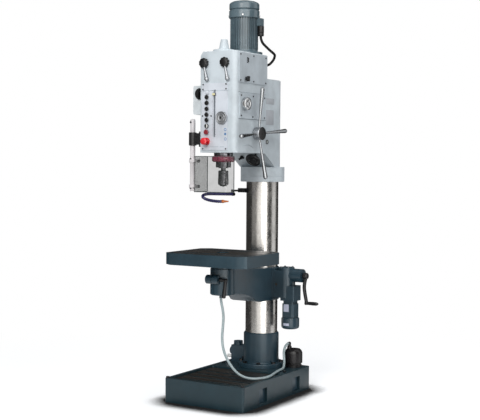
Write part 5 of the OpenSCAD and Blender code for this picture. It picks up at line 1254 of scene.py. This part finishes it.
@dataclass
class HeadSide(SubAssembly):
    """The head's right side: feed selector, sight glass, curved rib, clip, bare plates and seams."""

    face: float = 0.112
    selector_at: Pair = (-0.398, 1.581)
    glass_at: Pair = (-0.149, 1.387)
    plates: tuple[tuple[float, ...], ...] = ((-0.117, 1.609, 0.088, 0.032), (-0.120, 1.5205, 0.084, 0.081))
    seams: Pair = (1.6415, 1.5025)
    rib_at: Pair = (-0.408, 1.352)
    rib_run: float = 0.115
    rib_rise: float = 0.016
    clip_at: Point = (0.1195, -0.373, 1.824)
    clip_bow: float = 0.011
    clip_drop: float = 0.024

    def selector(self) -> None:
        """The feed selector: a thick polished knob with a shallow ring turned in its face."""
        disc = turned(mm("0 6.5, 30 6.5, 33.5 8.5, 33.8 11, 33.8 26.5, 32.2 30, 28.5 31.5, 18 31.7, 17 30, "
                         "11 29.8, 10 31.2, 1 31.4, 0 31.4"), 0.001, 96)
        self.piece("selector_knob", disc.at(side_seat(*self.selector_at)), Finishes.POLISHED, "feed_selector",
                   "bright_steel", ["feed_selector"])

    def build(self) -> None:
        """Makes the trim."""
        self.selector()
        f = self.face
        ring = turned(mm("8.5 -2, 12.8 -2, 12.8 2.2, 11.2 4.2, 8.5 4.2"), 0.0006, 40, True)
        seat = side_seat(*self.glass_at)
        self.piece("sight_glass_ring", ring.at(seat), Finishes.DARK_RING, "frame", "black_plastic")
        glass = turned(mm("0 -3, 8.8 -3, 8.8 1.2, 6 2.2, 0 2.2"), 0.0006, 32)
        self.piece("sight_glass", glass.at(seat), Finishes.OIL_GLASS, "frame", "black_plastic")
        t = np.linspace(0, 1, 24)
        y, z = self.rib_at
        rise = z + self.rib_rise * np.sin(np.pi * (0.15 + 0.85 * t))
        rib = np.stack([np.full(len(t), f + 0.0002), y + self.rib_run * t, rise], -1)
        self.piece("cast_rib", swept(rib, 0.0028 * np.sqrt(np.clip(4 * t * (1 - t), 0.05, 1)), (0, 0, 1), 16),
                   Finishes.GREY_PLATE, "frame", "grey_casting")
        t = np.linspace(0, 1, 40)
        x, y, z = self.clip_at
        bow = self.clip_bow * np.abs(np.sin(2 * np.pi * t))
        loop = np.stack([np.full(len(t), x), y + bow, z - self.clip_drop * t], -1)
        self.piece("side_clip", swept(loop, 0.0028, (1, 0, 0), 14), Finishes.BLACK, "frame", "black_plastic")
        for n, (y, z, wide, tall) in enumerate(self.plates, 1):
            plate = block(wide, tall, -0.0005, 0.0008, 0.003).at(side_seat(y, z))
            self.piece(f"plate_bare_{n}", plate, Finishes.PLATE_BARE, "frame", "panel_sheet")
        seams = block(0.288, 0.0022, -0.0003, 0.0005, 0.0005).on(side_seat(-0.306, z) for z in self.seams)
        self.piece("side_seams", seams, Finishes.SEAM, "frame", "grey_casting")


@dataclass
class QuillEnd(SubAssembly):
    """The dark band of the quill guide."""

    centre: Pair = (0.0, -0.415)

    def build(self) -> None:
        """Makes the band."""
        band = turned(mm("40.4 1307.9, 50.3 1307.9, 50.3 1324.9, 40.4 1324.9"), 0.0004, 96, True)
        self.piece("guide_band", band.at(Seat((*self.centre, 0.0))), Finishes.GLOSS_BLACK, "frame", "black_paint")


@dataclass
class Guard(SubAssembly):
    """The swinging guard: a bent clear sheet with its dark cut edges, two collars and their bars."""

    low: float = 1.117
    high: float = 1.306
    half: float = 0.105
    front: float = -0.549
    corner: float = 0.014
    back_left: float = -0.412
    back_right: float = -0.476
    thick: float = 0.004
    cut_edge: float = 0.0035
    post: Pair = (-0.179, -0.440)
    bars: Pair = (1.146, 1.280)
    clamp_bolts: Pair = (1.383, 1.413)
    post_bolts: tuple[float, ...] = (1.487, 1.291, 1.136)
    bar_y: float = -0.492

    def section(self, low: float, high: float) -> Shape:
        """The bent sheet between two heights: an eased line round three sides, with a wall inside it."""
        w, f, t, left, right = self.half, self.front, self.thick, self.back_left, self.back_right
        outer = eased(np.array([[-w, left], [-w, f], [w, f], [w, right]]), self.corner * 1.4, 10)
        inner = eased(np.array([[-w + t, left], [-w + t, f + t], [w - t, f + t], [w - t, right]]),
                      (self.corner - t) * 1.4, 10)
        n = len(outer)
        rings = np.array([np.column_stack([line, np.full(n, z)]) for line, z in
                          ((outer, low), (outer, high), (inner, high), (inner, low))])
        faces = grid_quads(4, n, True, False)
        faces += [tuple(n * k for k in (0, 1, 2, 3)), tuple(n * k + n - 1 for k in (3, 2, 1, 0))]
        return Shape(rings.reshape(-1, 3), faces)

    def holder(self) -> None:
        """The guard's pale post and the black clamp that holds it to the head."""
        px, py = self.post
        post = turned(mm("0 1119.2, 13.8 1119.2, 13.8 1497, 11.2 1503, 1 1505, 0 1505"), 0.001, 48)
        # The post's pale paint is a painted reflection on bright steel.
        self.piece("guard_rod", post.at(Seat((px, py, 0))), Finishes.POST_PAINTED_REFLECTION, "frame", "bright_steel", ["guard_post"])
        sleeve = turned(mm("14.1 1363.2, 20 1363.2, 20.8 1364.5, 20.8 1431.8, 20 1433, 14.1 1433"), 0.0006, 56, True)
        arm = block(0.064, 0.030, 1.3672, 1.4288, 0.003).at(Seat((px + 0.0345, py, 0)))
        pad = block(0.0115, 0.050, 1.3552, 1.4368, 0.002).at(Seat((-0.1182, py, 0)))
        self.piece("guard_clamp", sleeve.at(Seat((px, py, 0))) + pad, Finishes.BLACK_ENAMEL, "frame", "black_paint")
        self.piece("guard_clamp_arm", arm, Finishes.BLACK_ENAMEL, "frame", "black_paint")
        bolt = turned(mm("0 0, 5.8 0, 5.8 4, 4.8 5.2, 2.6 5.2, 2.6 2, 0 2"), 0.0004, 6)
        bolts = bolt.on(Seat((-0.148, py - 0.0148, z), (0, -1, 0), (0, 0, 1)) for z in self.clamp_bolts)
        self.piece("guard_clamp_screws", bolts, Finishes.BOLT, "frame", "black_paint")
        screw = turned(mm("0 0, 5.2 0, 5.2 4, 3 3.6, 0 3.6"), 0.0004, 20)
        screws = screw.on(Seat((px - 0.0035, py - 0.0132, z), (-0.25, -1, 0), (0, 0, 1)) for z in self.post_bolts)
        self.piece("post_screws", screws, Finishes.BOLT, "frame", "black_paint")

    def hinges(self) -> None:
        """The two collars on the post, each with its bar to the sheet, a pad there and two screws."""
        px, py = self.post
        ax, ay = -self.half - 0.0055, self.bar_y
        length = math.hypot(ax - px, ay - py)
        way = ((ax - px) / length, (ay - py) / length, 0.0)
        collar = turned(mm("14.12 -9, 19 -9, 19 9, 14.12 9"), 0.0008, 48, True)
        screw = turned(mm("0 0, 3 0, 3 1.2, 0 1.6"), 0.0003, 16)
        parts = []
        for z in self.bars:
            parts += [collar.at(Seat((px, py, z))),
                      block(0.012, 0.010, 0.0175, length, 0.001).at(Seat((px, py, z), way, (0, 0, 1))),
                      block(0.026, 0.016, 0.0, 0.006, 0.001).at(Seat((ax - 0.0007, ay, z), (1, 0, 0), (0, 1, 0)))]
            parts += [screw.at(Seat((ax - 0.0005, y, z), (-1, 0, 0), (0, 1, 0))) for y in (ay - 0.008, ay + 0.008)]
        self.piece("guard_hinges", together(parts), Finishes.POST_PAINTED_REFLECTION, "guard", "bright_steel")

    def build(self) -> None:
        """Makes the sheet, its edges, the hinges and the holder."""
        edge = self.cut_edge
        self.piece("guard_sheet", self.section(self.low + edge, self.high - edge), Finishes.SHEET, "guard",
                   "clear_sheet", ["chuck_guard"])
        rims = self.section(self.low, self.low + edge) + self.section(self.high - edge, self.high)
        end = block(self.thick, 0.0025, self.low + edge, self.high - edge, 0.0003)
        x = self.half - self.thick / 2
        ends = end.on([Seat((-x, self.back_left + 0.001, 0)), Seat((x, self.back_right + 0.001, 0))])
        self.piece("guard_edges", rims + ends, Finishes.SHEET_EDGE, "guard", "clear_sheet")
        self.hinges()
        self.holder()


@dataclass
class LiftDrive(SubAssembly):
    """The crank's arm, the clamp lever, and the bare plates and screws of the lift gearbox and its motor."""

    clamp: Point = (0.0, -0.487, 0.657)
    handle_x: float = 0.064
    handle_way: Point = (-12.0, 0.0, -92.0)
    handle_long: float = 0.096
    hub_x: float = 0.268
    crank_z: float = 0.651
    plate_at: Point = (0.1795, -0.037, 0.470)
    cover: Point = (0.161, 0.0, 0.694)
    cover_screw_r: float = 0.034

    def lever(self) -> None:
        """The clamp's spindle ends and its handle, whose radius at share t of its length is a + b t^2."""
        x, y, z = self.clamp
        spindle = turned(mm("0 -59.2, 9.5 -59.2, 11.2 -57, 11.2 -51.2, 7.8 -51.2, 7.8 24.3, 9.2 24.5, "
                            "10.2 26.5, 10.2 38, 9.2 43, 8.6 58, 10.5 64, 9.8 70, 6 72.8, 0 73"), 0.0012, 48)
        way = np.array(self.handle_way) / math.hypot(*self.handle_way)
        t = np.concatenate([np.linspace(0, 0.93, 14), [0.965, 0.985, 1.0]])
        line = np.array([self.handle_x, y, z]) + t[:, None] * self.handle_long * way
        thick = 0.0088 + 0.0024 * t ** 2
        thick[-3:] *= (0.94, 0.80, 0.5)
        handle = swept(line, thick, (0, 1, 0), 28).plain()
        self.piece("clamp_hand_lever", spindle.at(Seat((x, y, z), (1, 0, 0), (0, 1, 0))) + handle,
                   Finishes.BLACK, "clamp_lever", "black_paint", ["table_clamp_lever"])

    def crank(self) -> None:
        """The crank's forged arm: a round bar on the line of the CAD arm."""
        bends = np.array(mm("12 0 -4, 10 0 -20, 5 0 -48, 4.5 0 -70, 10 0 -105, 17 0 -138, 19 0 -159"))
        line = resampled(flowing(bends + (self.hub_x, 0.0, self.crank_z), 8), 0.004)
        bar = swept(line, 0.0098, (0, 1, 0), 24).plain()
        self.piece("crank_bar", bar, Finishes.BLACK, "crank", "black_paint")

    def build(self) -> None:
        """Makes the lever, the crank's arm, the plates and the screws."""
        self.lever()
        self.crank()
        plate = block(0.032, 0.042, -0.0003, 0.0009, 0.001).at(Seat(self.plate_at, (0, -1, 0), (1, 0, 0)))
        a = np.radians(np.linspace(-20, 20, 13))
        rows = [[(0.186 + r * math.sin(t), -r * math.cos(t), z) for t in a]
                for r, z in mm("49.6 373, 50.8 373, 50.8 387, 49.6 387")]
        bowed = np.array(rows).transpose(1, 0, 2).reshape(-1, 3)
        last = 4 * (len(a) - 1)
        walls = [(i + k, i + (k + 1) % 4, i + 4 + (k + 1) % 4, i + 4 + k) for i in range(0, last, 4)
                 for k in range(4)]
        bow = Shape(bowed, walls + [(3, 2, 1, 0), (last, last + 1, last + 2, last + 3)])
        self.piece("motor_plate_bare", plate + bow, Finishes.PLATE_BRIGHT, "arm", "panel_sheet")
        screw = turned(mm("0 0, 5.5 0, 5.5 4, 4.2 5, 2.6 5, 2.6 2, 0 2"), 0.0004, 24)
        (x, y, z), r = self.cover, self.cover_screw_r
        screws = screw.on(Seat((x + r * math.cos(t), y + r * math.sin(t), z))
                          for t in np.radians(np.arange(45, 360, 90)))
        self.piece("lift_cover_screws", screws, Finishes.SCREW, "arm", "ground_steel")


@dataclass
class MotorTrim(SubAssembly):
    """The screws of the motor's fan cowl."""

    axis_y: float = -0.211
    cowl_r: float = 0.0822
    screw_z: float = 2.066

    def build(self) -> None:
        """Makes the screws."""
        ways = [(math.cos(t), math.sin(t), 0.0) for t in np.radians(np.arange(-65, 295, 90))]
        seats = [Seat((self.cowl_r * x, self.axis_y + self.cowl_r * y, self.screw_z), (x, y, z), (0, 0, 1))
                 for x, y, z in ways]
        screws = turned(mm("0 0, 6 0, 6 2.6, 4 3.8, 0 3.8"), 0.0005, 24).on(seats)
        self.piece("cowl_screws", screws, Finishes.BRIGHT, "frame", "bright_steel")


# The drill


def main() -> None:
    """Builds the studio and every sub-assembly in order."""
    logging.basicConfig(level=logging.INFO, format="%(name)s: %(message)s")
    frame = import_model()
    Studio().build()
    for maker in (Coolant, MotorLead, Castings, GearLevers, Capstan, Panel, DepthDial, HeadSide, QuillEnd, Guard,
                  LiftDrive, MotorTrim):
        LOG.info("sub-assembly %s", maker.__name__)
        maker(frame).build()


if __name__ == "__main__":
    main()
